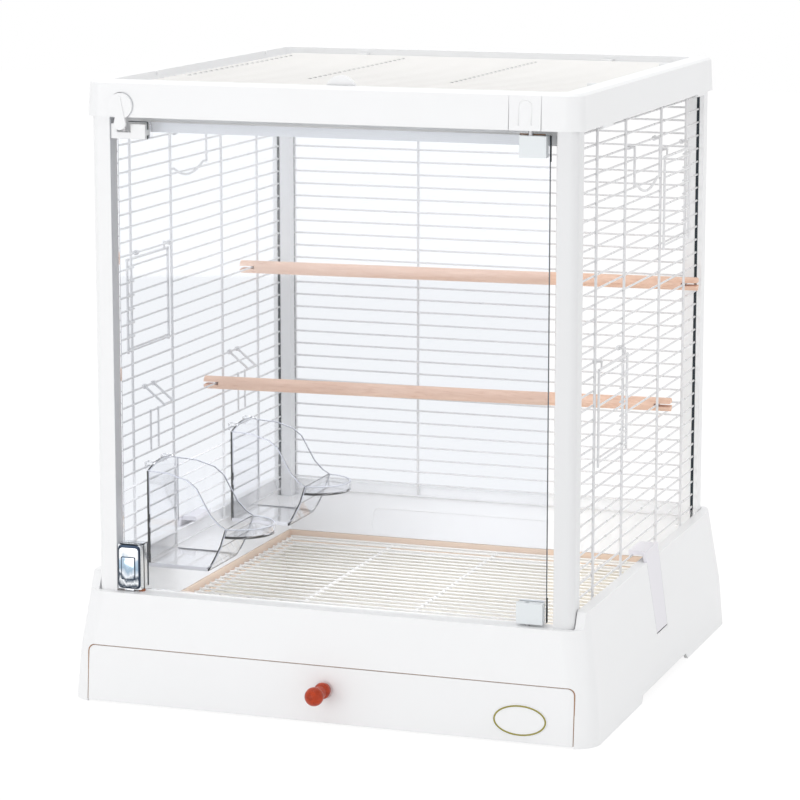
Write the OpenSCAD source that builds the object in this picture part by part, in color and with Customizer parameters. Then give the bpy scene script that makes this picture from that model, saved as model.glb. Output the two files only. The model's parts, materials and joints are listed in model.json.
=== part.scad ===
// Bird cage: moulded base with a pull-out tray, four corner posts with wire
// walls between them, a moulded lid with a lift-up wire roof, a clear front
// door on pin hinges, three drop-down wire doors, perches and seed cups.
// Millimetres, Z up, origin on the floor under the middle of the whole cage.

/* [Base] */
// Width of the base where it stands on the floor
base_w = 470; // [450:1:500]
// Depth of the base where it stands on the floor
base_d = 460; // [440:1:490]
// Radius of the base's upright corners
base_corner_r = 22; // [16:1:30]
// Height of the base's side and back walls
side_top_z = 110; // [106:1:114]
// Height of the base's lower front wall
front_top_z = 96; // [94:1:98]
// Height of the knee where the skirt starts to lean in
knee_z = 45; // [40:1:50]
// How far the skirt leans in at each side from floor to knee
knee_in = 3.5; // [2:0.5:5]
// How far the skirt leans in at each side from floor to rim
rim_in_x = 13; // [11:0.5:14]
// How far the skirt leans in at front and back from floor to rim
rim_in_y = 10.5; // [10:0.5:11.5]
// Wall thickness of the moulded base
base_wall = 3; // [2.4:0.2:3.4]
// Height of the arch cut under each side skirt
arch_h = 6; // [4:1:10]
// Length of the arch cut under each side skirt
arch_len = 146; // [100:1:180]

/* [Floor] */
// Height of the deck that carries the floor grid
deck_z = 50.5; // [50:0.5:52]
// Height of the tan surround's riser
riser_h = 11.2; // [9:0.1:11.3]
// Width of the deck's ledge under the surround
ledge_w = 11; // [9:1:13]
// Diameter of the floor grid's frame wires
floor_frame_d = 3; // [2.5:0.1:3.5]

/* [Drawer] */
// Height of the opening for the drawer in the front wall
drawer_open_h = 50; // [44:1:50]
// Half of the width of the drawer opening
drawer_half_w = 217.8; // [212:0.1:218]
// Shadow gap round the drawer front
drawer_gap = 0.8; // [0.5:0.1:1.5]
// Height of the tray from its underside to its flange
tray_h = 40.5; // [30:0.5:40.5]
// Wall thickness of the tray
tray_wall = 2.5; // [2:0.1:3]
// How far the wooden knob stands out in front of the base
knob_out = 30; // [24:1:36]
// Diameter of the knob's front ball
knob_d = 16; // [14:0.5:20]
// Height of the knob above the floor
knob_z = 30; // [24:1:34]

/* [Posts] */
// Width of a corner post, across the cage
post_w = 17; // [16:0.5:18]
// Depth of a corner post, front to back
post_d = 18; // [17:0.5:19]
// Radius of a post's outer corner
post_corner_r = 6; // [4:0.5:8]
// Depth of the slots that hold the wire walls
slot_deep = 7; // [5:0.5:8]

/* [Wire walls] */
// Number of level wires in each wall
wire_rows = 34; // [32:1:38]
// Distance between level wires
wire_pitch = 12; // [11.5:0.1:12.5]
// Diameter of the level wires
wire_d = 1.8; // [1.6:0.1:2]
// Diameter of the upright wires
upright_d = 2.4; // [2.2:0.1:2.8]
// Side walls: distance of the inner uprights from the middle
upright_in = 58; // [54:1:62]
// Side walls: distance of the outer uprights from the middle
upright_out = 145; // [140:1:150]
// Back wall: distance of the uprights from the middle
back_upright = 69; // [50:0.1:90]

/* [Hanging wirework] */
// How far a wire door hangs outside its wall
door_hang = 5.5; // [5.4:0.1:6.5]
// Distance of a wire door's eyes from its side rods
eye_inset = 7.5; // [6:0.5:12]
// Drop from a wire door's hinge wire to the top of its frame
frame_drop = 6; // [5.5:0.1:7]
// How far the carrying bails hang outside the walls
bail_hang = 5; // [4.4:0.1:5.6]
// Width of a bail
bail_w = 83; // [60:1:90]
// Length of a bail's legs
bail_leg = 33; // [26:1:38]
// Depth of the dip in a bail's lower bar
bail_dip = 8; // [6:1:12]
// Distance of the dip's ends from the bail's legs
dip_in = 9; // [5:1:14]
// Distance between the two rods of a seed cup guard
guard_w = 19; // [14:1:24]
// Reach of a guard's rods into the cage
guard_in = 18.5; // [14:0.5:22]
// Drop of a guard's rods below their hinge wire
guard_drop = 15; // [10:0.5:20]

/* [Lid] */
// Height of the lid frame
lid_h = 30; // [28:1:36]
// How far the lid stands out past the posts
lid_over = 5; // [4.5:0.5:7]
// Width of the lid's flat rim
lid_rim_w = 19; // [17:1:20]
// Width of the ledge that carries the roof grid
roof_ledge_w = 8; // [7:0.5:8]
// Depth of the recess for the roof grid
roof_recess = 9; // [8:0.5:11]
// Radius of the lid's corners
lid_corner_r = 14; // [10:1:18]
// Diameter of the roof's frame rods
roof_rod_d = 3; // [2.6:0.1:3.4]
// Distance of the roof's inner rods from the middle
roof_rod_in = 64; // [50:1:80]
// Distance of the roof's outer rods from the recess's sides
roof_rod_side = 22; // [18:1:34]
// Drop of the stop behind the front door's top, below the lid's edge
stop_drop = 14; // [10:1:16]
// Radius of the finger tab at the front of the roof
tab_r = 14; // [12:0.5:16]

/* [Front door] */
// Thickness of the clear pane
pane_t = 3; // [2.6:0.1:3.2]
// Clearance under and over the front door
door_gap_z = 2; // [1.8:0.1:3]
// Clearance between the front door and the posts
door_gap_x = 3.6; // [3:0.1:5]
// Distance of the hinge axis from the pane's hinged edge
hinge_in = 15; // [14.5:0.5:17]
// Diameter of the door's hinge pins
pin_d = 4; // [3.6:0.1:4.2]
// Depth of the hinge pins' bores in the base and the lid
pin_deep = 10; // [8:0.5:11]
// Diameter of the lock knob on the lid
lock_d = 21.4; // [20:0.2:22]
// Height of the latch box at the door's free corner
latch_h = 39; // [34:1:44]
// Width of the corner piece behind the lock's blade
keeper_w = 31; // [28:1:34]

/* [Perches and seed cups] */
// Diameter of a perch
perch_d = 12; // [10:0.5:14]
// How far a perch stands out past each wall
perch_over = 11.5; // [8:0.5:14]
// Width of a seed cup
cup_w = 64; // [60:1:66]
// Wall thickness of a seed cup
cup_wall = 2; // [1.6:0.1:2.4]
// Reach of a seed cup's lip into the cage
cup_reach = 75; // [73:1:78]
// Radius of the half-round landing dish on a seed cup
dish_r = 31; // [28:1:31.5]

/* [Side clips] */
// Width of a side clip at its top
clip_w = 42; // [38:1:46]
// Thickness of a side clip
clip_t = 3; // [2.6:0.1:3.2]

/* [Hidden] */

white = [0.93, 0.94, 0.95];
tan_plastic = [0.82, 0.72, 0.58];
wire_white = [0.88, 0.88, 0.88];
beech = [0.86, 0.72, 0.62];
red_wood = [0.50, 0.24, 0.13];
chrome_grey = [0.70, 0.71, 0.72];
brown = [0.42, 0.30, 0.22];
clear = [0.85, 0.92, 0.94, 0.35];

// Clearances: flat running faces, wires in slots, and pins in bores
run_gap = 0.3;
slot_gap = 0.5;
bore_gap = 0.08;
seat_gap = 0.2;
over = 1;
thin = 0.01;

// The knob stands out in front, so the cage sits back by half of that
cage_y = knob_out / 2;

// Half sizes of the skirt at a height
base_x = base_w / 2;
base_y = base_d / 2;
rim_x = base_x - rim_in_x;
rim_y = base_y - rim_in_y;
knee_in_y = knee_in - 0.5;
function lean(z, knee, rim) = z <= knee_z ? knee * z / knee_z
    : knee + (rim - knee) * (z - knee_z) / (side_top_z - knee_z);
function skirt_x(z) = base_x - lean(z, knee_in, rim_in_x);
function skirt_y(z) = base_y - lean(z, knee_in_y, rim_in_y);
face_tilt = atan(knee_in_y / knee_z);

// Posts: outer faces, inner faces and ends
post_x = rim_x - 10;
post_y = rim_y - 5.5;
post_in_x = post_x - post_w;
post_in_y = post_y - post_d;
post_seat_z = front_top_z - 8;

// Wires
wire_in = 5.5;
wall_x = post_x - wire_in;
wall_y = post_y - wire_in;
upright_step = (wire_d + upright_d) / 2 - run_gap;
upright_x = wall_x + upright_step;
guide_x = wall_x - wire_d + run_gap;
first_wire_z = front_top_z + 6;
upright_low_z = first_wire_z - 0.6;
function row_z(k) = first_wire_z + wire_pitch * k;
top_row = wire_rows - 1;
lid_z = row_z(top_row) + 5;
bay_y = (upright_in + upright_out) / 2;
bay_half = (upright_out - upright_in) / 2;
door_rows = 7;
rod_d = 2.2;
knee_d = rod_d + 0.2;
eye_wall = 1.3;
eye_len = 3;

// Wire doors: side, bay and lowest row of each
left_door = [-1, -1, 16];
right_upper_door = [1, 1, 23];
right_lower_door = [1, -1, 10];
bail_row = wire_rows - 3;
bail_left_y = -10;
bail_right_y = 1;
guard_row = 13;
guard_front_y = -114;
guard_rear_y = 79.5;
guide_row = 8;
guide_front_y = -107;
guide_rear_y = 95;
guide_half = 8.2;

// Funnel between the base's rim and the floor
floor_x = base_x - 37;
floor_y = base_y - 32;
funnel_z = deck_z + riser_h + run_gap;
funnel_top_x = rim_x - 9;
funnel_front_y = -(rim_y - 16.5);
funnel_back_y = rim_y - 4;
cavity = 3.3;
surround_x = floor_x + cavity;
surround_y = floor_y + cavity;
deck_t = 2.5;
grid_z = deck_z + deck_t + floor_frame_d / 2 + 0.05;
grid_in = 5;
grid_x = floor_x - grid_in;
grid_y = floor_y - grid_in;
grid_wire_z = grid_z + (floor_frame_d + wire_d) / 2 - run_gap;
floor_bars = [-89, 17, 123];

// Drawer
drawer_z = 1.5;
tray_z = 4;
tray_top_z = tray_z + tray_h;
tray_x = floor_x + 8;
flange_w = 6;
flange_t = 2.5;
tray_front_y = -(base_y - 9);
tray_back_y = base_y - 25;
rail_t = 3;
rail_top_z = tray_top_z - flange_t - run_gap;
knob_tip_y = -(base_y + knob_out);
knob_seat_y = -(skirt_y(knob_z) - 0.7);
screw_r = 2;
badge_x = 171.8;
badge_z = 20;
badge_size = [46.5, 26.5];

// Lid
lid_x = post_x + lid_over;
lid_y = post_y + lid_over;
lid_top_z = lid_z + lid_h;
lid_wall = 2.5;
recess_x = lid_x - lid_rim_w;
recess_y = lid_y - lid_rim_w;
recess_z = lid_top_z - roof_recess;
roof_open_x = recess_x - roof_ledge_w;
roof_open_y = recess_y - roof_ledge_w;
socket_z = lid_z + 6;
post_top_z = socket_z - run_gap;
roof_z = recess_z + roof_rod_d / 2 + run_gap;
roof_edge_y = recess_y - 6;
roof_wire_z = roof_z + (roof_rod_d + wire_d) / 2 - run_gap;
roof_wires = floor((roof_edge_y - 4) / wire_pitch);
roof_rod_out = recess_x - roof_rod_side;
roof_wire_end = recess_x - 12;
tab_x = 5.5;
tab_t = 2.8;
hinge_clip_x = 120;

// Front door
pane_z = front_top_z + door_gap_z;
pane_top_z = lid_z - door_gap_z - 2.3;
pane_left = -(post_in_x - door_gap_x);
pane_right = post_in_x - door_gap_x - 4.4;
pane_front_y = -(post_y - 6);
pane_back_y = pane_front_y + pane_t;
hinge_x = pane_right - hinge_in;
hinge_y = pane_front_y - 3.2;
hinge_block_h = 17.5;
keeper_h = 11.2;
keeper_grip = 3;
grip_over = 2.4;
lock_x = pane_left + 9;
lock_z = lid_z + 9.5;
blade_top = 8;
blade_len = 20;
blade_w = 5.2;
seam_x = hinge_x - 2.85;
seam_half = 13.6;
latch_w = 21;
buffer_t = door_gap_z - run_gap;

// Perches: row, place at the left wall and shift to the right wall
upper_perch_row = 19;
lower_perch_row = 11;
upper_perch_y = 130;
lower_perch_y = 40;
perch_skew = 28.5;

// Seed cups
cup_row = 7;
cup_front_y = -98;
cup_rear_y = 94;
cup_x = -(wall_x - 3.5);

// Side clips
clip_bottom_w = clip_w - 8;
clip_z = 47;
clip_top_z = row_z(1) + wire_d / 2 + 4.5;
clip_pin_r = 2;
clip_pin_z = clip_z + 5;
clip_pin_x = skirt_x(clip_pin_z) - 4;

module cage() {
    translate([0, cage_y, 0]) children();
}

module block(low, high) {
    translate(low) cube(high - low);
}

module rod_x(x0, x1, y, z, d) {
    translate([x0, y, z]) rotate([0, 90, 0]) cylinder(d = d, h = x1 - x0, $fn = 32);
}

module rod_y(y0, y1, x, z, d) {
    translate([x, y0, z]) rotate([-90, 0, 0]) cylinder(d = d, h = y1 - y0, $fn = 32);
}

module rod_z(z0, z1, x, y, d) {
    translate([x, y, z0]) cylinder(d = d, h = z1 - z0, $fn = 32);
}

// Outline across the cage, drawn in X and Z, carried along Y
module along_y(y0, y1) {
    translate([0, y1, 0]) rotate([90, 0, 0]) linear_extrude(y1 - y0) children();
}

// Outline front to back, drawn in Y and Z, carried along X
module along_x(x0, x1) {
    translate([x0, 0, 0]) rotate([90, 0, 90]) linear_extrude(x1 - x0) children();
}

module rounded(hx, hy, r) {
    square([2 * (hx - r), 2 * hy], center = true);
    square([2 * hx, 2 * (hy - r)], center = true);
    for (sx = [-1, 1], sy = [-1, 1]) translate([sx * (hx - r), sy * (hy - r)]) circle(r, $fn = 32);
}

module slab(hx, hy, r, z) {
    translate([0, 0, z]) linear_extrude(thin) rounded(hx, hy, r);
}

// The skirt's solid form, drawn in by a wall on every side
module skirt(inset, low, high) {
    r = base_corner_r - inset;
    hull() {
        slab(skirt_x(max(low, 0)) - inset, skirt_y(max(low, 0)) - inset, r, low);
        slab(skirt_x(knee_z) - inset, skirt_y(knee_z) - inset, r, knee_z);
        slab(skirt_x(high) - inset, skirt_y(high) - inset, r, high - thin);
    }
}

// Space above the front wall, with the curved step up to the side walls
module front_step(back, down) {
    step_y = funnel_front_y - 1;
    step_w = 9;
    rise = side_top_z - front_top_z;
    curve = [for (i = [0:8]) let (t = i / 8)
        [step_y - step_w * (1 - t) + back, front_top_z + rise * t * t * (3 - 2 * t) - down]];
    top = side_top_z + 30;
    along_x(-base_x - over, base_x + over)
        polygon(concat([[-base_y - 30, top], [-base_y - 30, front_top_z - down]], curve,
            [[step_y + back, top]]));
    block([-funnel_top_x - back, -base_y - 30, front_top_z - down],
        [funnel_top_x + back, funnel_front_y + 2 * over + back, top]);
}

module funnel(grow, low) {
    mid_y = (funnel_front_y + funnel_back_y) / 2;
    half_y = (funnel_back_y - funnel_front_y) / 2;
    lift = side_top_z + (grow > 0 ? -thin : over);
    hull() {
        translate([0, 0, low]) slab(floor_x + grow, floor_y + grow, 4 + grow, 0);
        translate([0, 0, funnel_z]) slab(floor_x + grow, floor_y + grow, 4 + grow, 0);
        translate([0, mid_y, 0]) slab(funnel_top_x + grow, half_y + grow, 8 + grow, lift - thin);
    }
}

// Outline of the drawer front and, a gap larger, of its opening
module drawer_outline(gap, low) {
    hw = drawer_half_w - gap;
    top = drawer_open_h - gap;
    r = 6;
    translate([-hw, low]) square([2 * hw, top - r - low]);
    translate([-hw + r, low]) square([2 * (hw - r), top - low]);
    for (s = [-1, 1]) translate([s * (hw - r), top - r]) circle(r, $fn = 32);
}

// Shape drawn for the right rear corner, mirrored to another corner
module at_corner(sx, sy) {
    mirror([sx < 0 ? 1 : 0, 0, 0]) mirror([0, sy < 0 ? 1 : 0, 0]) children();
}

module clip_shape(gap, side_gap) {
    // Lever from its barrel up to the hook over the second wire
    low = clip_z - gap;
    high = clip_top_z + gap;
    t = clip_t + gap;
    half_low = clip_bottom_w / 2 + side_gap;
    half_high = clip_w / 2 + side_gap;
    intersection() {
        along_y(-half_high - over, half_high + over)
            polygon([[skirt_x(low), low], [skirt_x(low) - t, low], [skirt_x(high) - t, high], [skirt_x(high), high]]);
        along_x(0, base_x + over)
            polygon([[-half_low, low], [half_low, low], [half_high, high], [-half_high, high]]);
    }
}

module side_opening() {
    // Window in a side wall for its clip, with room for the barrel
    barrel = clip_pin_x - 5;
    low = clip_z - 2.4;
    clip_shape(2 * slot_gap, slot_gap);
    block([barrel, -clip_bottom_w / 2 - slot_gap, low], [base_x + over, clip_bottom_w / 2 + slot_gap, clip_pin_z + 6]);
    translate([over, 0, 0]) clip_shape(2 * slot_gap, slot_gap);
}

module base_shell() {
    top_z = side_top_z;
    ear = clip_bottom_w / 2 + over;
    color(white) cage() difference() {
        union() {
            difference() {
                union() {
                    difference() {
                        skirt(0, 0, top_z);
                        difference() {
                            skirt(base_wall, -over, top_z - base_wall);
                            front_step(base_wall, base_wall);
                        }
                    }
                    // Funnel wall, riser wall and deck ledge
                    difference() {
                        funnel(cavity + base_wall, deck_z - deck_t);
                        front_step(base_wall, base_wall);
                    }
                }
                funnel(0, funnel_z - thin);
                block([-surround_x, -surround_y, deck_z], [surround_x, surround_y, funnel_z]);
                block([-floor_x + ledge_w - cavity, -floor_y + ledge_w - cavity, 0],
                    [floor_x - ledge_w + cavity, floor_y - ledge_w + cavity, deck_z + over]);
            }
            // Blocks round the feet of the posts
            for (sx = [-1, 1], sy = [-1, 1]) at_corner(sx, sy)
                block([post_in_x - base_wall, post_in_y - base_wall, post_seat_z - base_wall],
                    [post_x + base_wall, post_y + base_wall, front_top_z]);
            // Rails for the tray's flanges
            for (s = [-1, 1]) at_corner(s, 1)
                block([tray_x + 2, -floor_y, rail_top_z - rail_t], [skirt_x(rail_top_z) - over, floor_y, rail_top_z]);
            // Ears for the clips' pins
            for (s = [-1, 1], e = [-1, 1]) at_corner(s, e)
                block([clip_pin_x - 4, ear, clip_pin_z - 5], [skirt_x(clip_pin_z) - 2, ear + 8, clip_pin_z + 5]);
            // Boss for the lower hinge pin of the door
            block([hinge_x - 6, hinge_y - 5, front_top_z - pin_deep - 2], [hinge_x + 6, hinge_y + 6, front_top_z]);
        }
        front_step(0, 0);
        along_y(-base_y - over, -base_y + 9) drawer_outline(0, -over);
        for (sx = [-1, 1], sy = [-1, 1]) at_corner(sx, sy)
            block([post_in_x - seat_gap, post_in_y - seat_gap, post_seat_z],
                [post_x + seat_gap, post_y + seat_gap, side_top_z + over]);
        for (s = [-1, 1]) at_corner(s, 1) {
            side_opening();
            rod_y(-ear - 9, ear + 9, clip_pin_x, clip_pin_z, 2 * (clip_pin_r + bore_gap));
            along_x(tray_x + 4, base_x + over) polygon([[-arch_len / 2 - arch_h - 1, -over],
                [-arch_len / 2, arch_h], [arch_len / 2, arch_h], [arch_len / 2 + arch_h + 1, -over]]);
        }
        rod_z(front_top_z - pin_deep, front_top_z + over, hinge_x, hinge_y, pin_d + 2 * bore_gap);
        // Shallow panel pressed into the funnel's back
        translate([0, floor_y, funnel_z])
            rotate([-atan((funnel_back_y - floor_y) / (side_top_z - funnel_z)), 0, 0])
            along_y(-over, 0.6) translate([0, 16]) rounded(floor_x - 85, 11, 5);
    }
}

module floor_surround() {
    outer_x = surround_x - run_gap;
    outer_y = surround_y - run_gap;
    inner_x = floor_x - over;
    inner_y = floor_y - over;
    ledge = ledge_w - cavity;
    color(tan_plastic) cage() difference() {
        block([-outer_x, -outer_y, deck_z], [outer_x, outer_y, deck_z + riser_h]);
        block([-inner_x, -inner_y, deck_z + deck_t], [inner_x, inner_y, deck_z + riser_h + over]);
        block([-floor_x + ledge, -floor_y + ledge, deck_z - over], [floor_x - ledge, floor_y - ledge, deck_z + riser_h]);
    }
}

module floor_grid() {
    bars = floor(grid_y / wire_pitch);
    color(wire_white) cage() union() {
        for (s = [-1, 1]) {
            rod_x(-grid_x, grid_x, s * grid_y, grid_z, floor_frame_d);
            rod_y(-grid_y, grid_y, s * grid_x, grid_z, floor_frame_d);
        }
        for (x = floor_bars) rod_y(-grid_y, grid_y, x, grid_z, floor_frame_d);
        for (k = [-bars:bars]) rod_x(-grid_x - over, grid_x + over, wire_pitch * k, grid_wire_z, wire_d);
    }
}

// Corner post: rounded outside, slotted for the walls it holds
module post(sx, sy, has_back_slot) {
    slot = wire_d + 2 * slot_gap;
    r = post_corner_r;
    color(white) cage() at_corner(sx, sy) difference() {
        translate([0, 0, post_seat_z]) linear_extrude(post_top_z - post_seat_z) difference() {
            union() {
                translate([post_in_x, post_in_y]) square([post_w - r, post_d]);
                translate([post_in_x, post_in_y]) square([post_w, post_d - r]);
                translate([post_x - r, post_y - r]) circle(r, $fn = 32);
            }
            translate([wall_x - slot / 2, post_in_y - over]) square([slot, slot_deep + over]);
            if (has_back_slot) translate([post_in_x - over, wall_y - slot / 2]) square([slot_deep + over, slot]);
        }
    }
}

module post_front_left() { post(-1, -1, false); }
module post_front_right() { post(1, -1, false); }
module post_rear_left() { post(-1, 1, true); }
module post_rear_right() { post(1, 1, true); }

// Stretches of a level wire: it stops at the uprights where a door's port is
function blocked(doors, k) = [for (d = doors) if (k > d[2] && k < d[2] + door_rows) d[1]];
function stretches(doors, k, end) = let (bays = blocked(doors, k)) len(bays) == 0 ? [[-end, end]]
    : bays[0] > 0 ? [[-end, upright_in + over], [upright_out - over, end]]
    : [[-end, -upright_out + over], [-upright_in - over, end]];

module side_wall(side, doors) {
    end = post_in_y + slot_deep - run_gap;
    for (k = [0:top_row]) {
        for (s = stretches(doors, k, end)) rod_y(s[0], s[1], side * wall_x, row_z(k), wire_d);
    }
    for (y = [-upright_out, -upright_in, upright_in, upright_out]) rod_z(upright_low_z, lid_z + 5, side * upright_x, y, upright_d);
}

module wire_wall_left() {
    color(wire_white) cage() union() {
        side_wall(-1, [left_door]);
        for (y = [guide_front_y, guide_rear_y], s = [-1, 1])
            rod_z(row_z(guide_row) + 2, row_z(guide_row + 3) + 2, -guide_x, y + s * guide_half, wire_d);
    }
}

module wire_wall_right() {
    color(wire_white) cage() side_wall(1, [right_upper_door, right_lower_door]);
}

module wire_wall_rear() {
    end = post_in_x + slot_deep - run_gap;
    color(wire_white) cage() union() {
        for (k = [0:top_row]) rod_x(-end, end, wall_y, row_z(k), wire_d);
        for (s = [-1, 1]) rod_z(upright_low_z, lid_z + 5, s * back_upright, wall_y + upright_step, upright_d);
    }
}

module lid_frame() {
    soft = 2;
    lean_in = 1.4;
    channel_z = recess_z - 2;
    color(white) cage() union() {
        difference() {
            hull() {
                slab(lid_x, lid_y, lid_corner_r, lid_z);
                slab(lid_x - lean_in, lid_y - lean_in, lid_corner_r, lid_top_z - soft);
                slab(lid_x - lean_in - soft, lid_y - lean_in - soft, lid_corner_r - soft, lid_top_z - thin);
            }
            translate([0, 0, recess_z]) linear_extrude(roof_recess + over) rounded(recess_x, recess_y, 5);
            block([-roof_open_x, -roof_open_y, lid_z - over], [roof_open_x, roof_open_y, recess_z + over]);
            // Hollow under the rim, left solid round the posts, the hinge and the lock
            difference() {
                translate([0, 0, lid_z - over]) linear_extrude(channel_z - lid_z + over) difference() {
                    rounded(lid_x - lid_wall - lean_in, lid_y - lid_wall - lean_in, lid_corner_r - lid_wall);
                    square([2 * (roof_open_x + lid_wall), 2 * (roof_open_y + lid_wall)], center = true);
                }
                for (sx = [-1, 1], sy = [-1, 1]) at_corner(sx, sy)
                    block([post_in_x - lid_wall, post_in_y - lid_wall, lid_z], [lid_x, lid_y, channel_z]);
                block([lock_x - 15, -lid_y, lid_z], [lock_x + 15, -roof_open_y, channel_z]);
                block([seam_x - seam_half, -lid_y, lid_z], [seam_x + seam_half, -roof_open_y, channel_z]);
            }
            for (sx = [-1, 1], sy = [-1, 1]) at_corner(sx, sy)
                block([post_in_x - seat_gap, post_in_y - seat_gap, lid_z - over],
                    [post_x + seat_gap, post_y + seat_gap, socket_z]);
            rod_z(lid_z - over, lid_z + pin_deep, hinge_x, hinge_y, pin_d + 2 * bore_gap);
            rod_y(-lid_y - over, -(lid_y - 3.4), lock_x, lock_z, lock_d + 4 * run_gap);
            rod_y(-lid_y, -(lid_y - 13), lock_x, lock_z, 6 + 2 * bore_gap);
            for (s = [-1, 1]) block([seam_x + s * seam_half - 0.4, -lid_y - over, lid_z - over],
                [seam_x + s * seam_half + 0.4, -lid_y + 1.9, lid_top_z]);
        }
        // Stop that hangs behind the front door's top edge
        block([-roof_open_x, -roof_open_y - 2, lid_z - stop_drop], [roof_open_x, -roof_open_y, lid_z + over]);
    }
}

// Perch with a flat slot in each end that grips a level wire
module perch(row, left_y) {
    turn = atan(perch_skew / (2 * wall_x));
    len = (2 * (wall_x + perch_over)) / cos(turn);
    slot_h = wire_d + 2 * slot_gap;
    slot_l = perch_over + 3;
    color(beech) cage() translate([0, left_y + perch_skew / 2, row_z(row)]) rotate([0, 0, turn]) difference() {
        rod_x(-len / 2, len / 2, 0, 0, perch_d);
        for (s = [-1, 1]) at_corner(s, 1)
            block([len / 2 - slot_l, -perch_d, -slot_h / 2], [len / 2 + over, perch_d, slot_h / 2]);
    }
}

module upper_perch() { perch(upper_perch_row, upper_perch_y); }
module lower_perch() { perch(lower_perch_row, lower_perch_y); }

module door_pins() {
    color(chrome_grey) cage() {
        rod_z(front_top_z - pin_deep, pane_z + hinge_block_h - 2, hinge_x, hinge_y, pin_d);
        rod_z(pane_top_z - hinge_block_h + 2, lid_z + pin_deep, hinge_x, hinge_y, pin_d);
    }
}

module clip_pins() {
    ear = clip_bottom_w / 2 + 9;
    color(chrome_grey) cage() for (s = [-1, 1]) at_corner(s, 1)
        rod_y(-ear, ear, clip_pin_x, clip_pin_z, 2 * clip_pin_r);
}

module roof_hinge_clips() {
    color(white) cage() for (s = [-1, 1]) difference() {
        block([s * hinge_clip_x - 5, roof_edge_y - 3.5, recess_z], [s * hinge_clip_x + 5, recess_y - over, roof_z + 3.4]);
        rod_x(s * hinge_clip_x - 6, s * hinge_clip_x + 6, roof_edge_y, roof_z, roof_rod_d + 2 * bore_gap);
    }
}

module latch_buffers() {
    color(brown) cage() for (x = [pane_left + 3, pane_left + 17])
        rod_z(front_top_z, front_top_z + buffer_t, x, pane_front_y, 6);
}

module drawer_front() {
    back_y = tray_front_y;
    color(white) cage() difference() {
        intersection() {
            skirt(0, 0, side_top_z);
            along_y(-base_y - over, back_y) drawer_outline(drawer_gap, drawer_z);
        }
        difference() {
            block([-drawer_half_w + 5, -base_y + 6, drawer_z + 3.5], [drawer_half_w - 5, back_y + over, drawer_open_h - 5]);
            rod_y(-base_y, back_y + 2 * over, 0, knob_z, 14);
        }
        rod_y(-base_y - over, knob_seat_y, 0, knob_z, knob_d - 1);
        rod_y(-base_y - over, back_y + over, 0, knob_z, 2 * (screw_r + seat_gap));
    }
}

module drawer_tray() {
    t = tray_wall;
    color(tan_plastic) cage() difference() {
        union() {
            block([-tray_x, tray_front_y, tray_z], [tray_x, tray_back_y, tray_top_z]);
            block([-tray_x - flange_w, tray_front_y + 7, tray_top_z - flange_t],
                [tray_x + flange_w, tray_back_y, tray_top_z]);
        }
        block([-tray_x + t, tray_front_y + t, tray_z + t], [tray_x - t, tray_back_y - t, tray_top_z + over]);
        rod_y(tray_front_y - over, tray_front_y + t + over, 0, knob_z, 2 * (screw_r + seat_gap));
    }
}

// Turned knob: neck bead against the drawer, waist and front ball
module drawer_knob() {
    len = knob_seat_y - knob_tip_y;
    ball = knob_d / 2;
    color(red_wood) cage() translate([0, knob_seat_y, knob_z]) rotate([90, 0, 0]) difference() {
        rotate_extrude($fn = 64) intersection() {
            union() {
                translate([0, len - ball]) circle(ball, $fn = 64);
                translate([0, 6]) circle(7, $fn = 64);
                square([5.4, len - ball]);
            }
            square([2 * ball, 2 * len]);
        }
        translate([0, 0, -over]) cylinder(r = screw_r + bore_gap, h = 17 + over, $fn = 32);
    }
}

module drawer_knob_screw() {
    head_y = tray_front_y + tray_wall;
    color(chrome_grey) cage() union() {
        rod_y(knob_seat_y - 16, head_y + thin, 0, knob_z, 2 * screw_r);
        rod_y(head_y, head_y + 2.4, 0, knob_z, 8);
    }
}

module drawer_badge() {
    color(tan_plastic) cage() translate([badge_x, -skirt_y(badge_z) - 0.06, badge_z])
        rotate([90 - face_tilt, 0, 0]) linear_extrude(1) resize(badge_size) circle(20, $fn = 48);
}

module door_pane() {
    notch_x = pane_left - grip_over + keeper_w + 1.6;
    color(clear) cage() along_y(pane_front_y, pane_back_y) difference() {
        polygon([[pane_left, pane_z], [pane_right, pane_z], [pane_right, pane_top_z],
            [notch_x, pane_top_z], [notch_x, pane_top_z - keeper_h], [pane_left, pane_top_z - keeper_h]]);
        for (z = [pane_z, pane_top_z - hinge_block_h]) translate([0, z]) hinge_key();
    }
}

// Square window through which a hinge block's two halves join
module hinge_key() {
    translate([hinge_x + 3, hinge_block_h / 2 - 3]) square(6);
}

// Hinge block that grips the pane and turns on a pin
module door_hinge(z) {
    r = pin_d / 2 + 2.2;
    color(white) cage() difference() {
        union() {
            block([hinge_x - 8.5, hinge_y - r, z], [pane_right - 1, pane_front_y + over, z + hinge_block_h]);
            block([hinge_x - 8.5, pane_front_y, z], [pane_right - 3, pane_back_y + 4, z + hinge_block_h]);
        }
        difference() {
            block([hinge_x - 10, pane_front_y, z - over], [pane_right + over, pane_back_y, z + hinge_block_h + over]);
            translate([0, 0, z]) along_y(pane_front_y - over, pane_back_y + over) hinge_key();
        }
        rod_z(z - over, z + hinge_block_h + over, hinge_x, hinge_y, pin_d + 2 * bore_gap);
    }
}

module door_hinge_upper() { door_hinge(pane_top_z - hinge_block_h); }
module door_hinge_lower() { door_hinge(pane_z); }

// Corner piece of the door behind the lock's blade, notched so the blade clears it
module door_keeper() {
    z = pane_top_z - keeper_h;
    x = pane_left - grip_over;
    color(white) cage() difference() {
        block([x, pane_front_y - 6, z - keeper_grip], [x + keeper_w, pane_back_y + 3, pane_top_z - 1.6]);
        block([x - over, pane_front_y, z - 5], [x + keeper_w + over, pane_back_y, z]);
        block([lock_x - blade_w - over, -lid_y, z + 2.5], [lock_x + blade_w + over, 0, pane_top_z]);
    }
}

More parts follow.
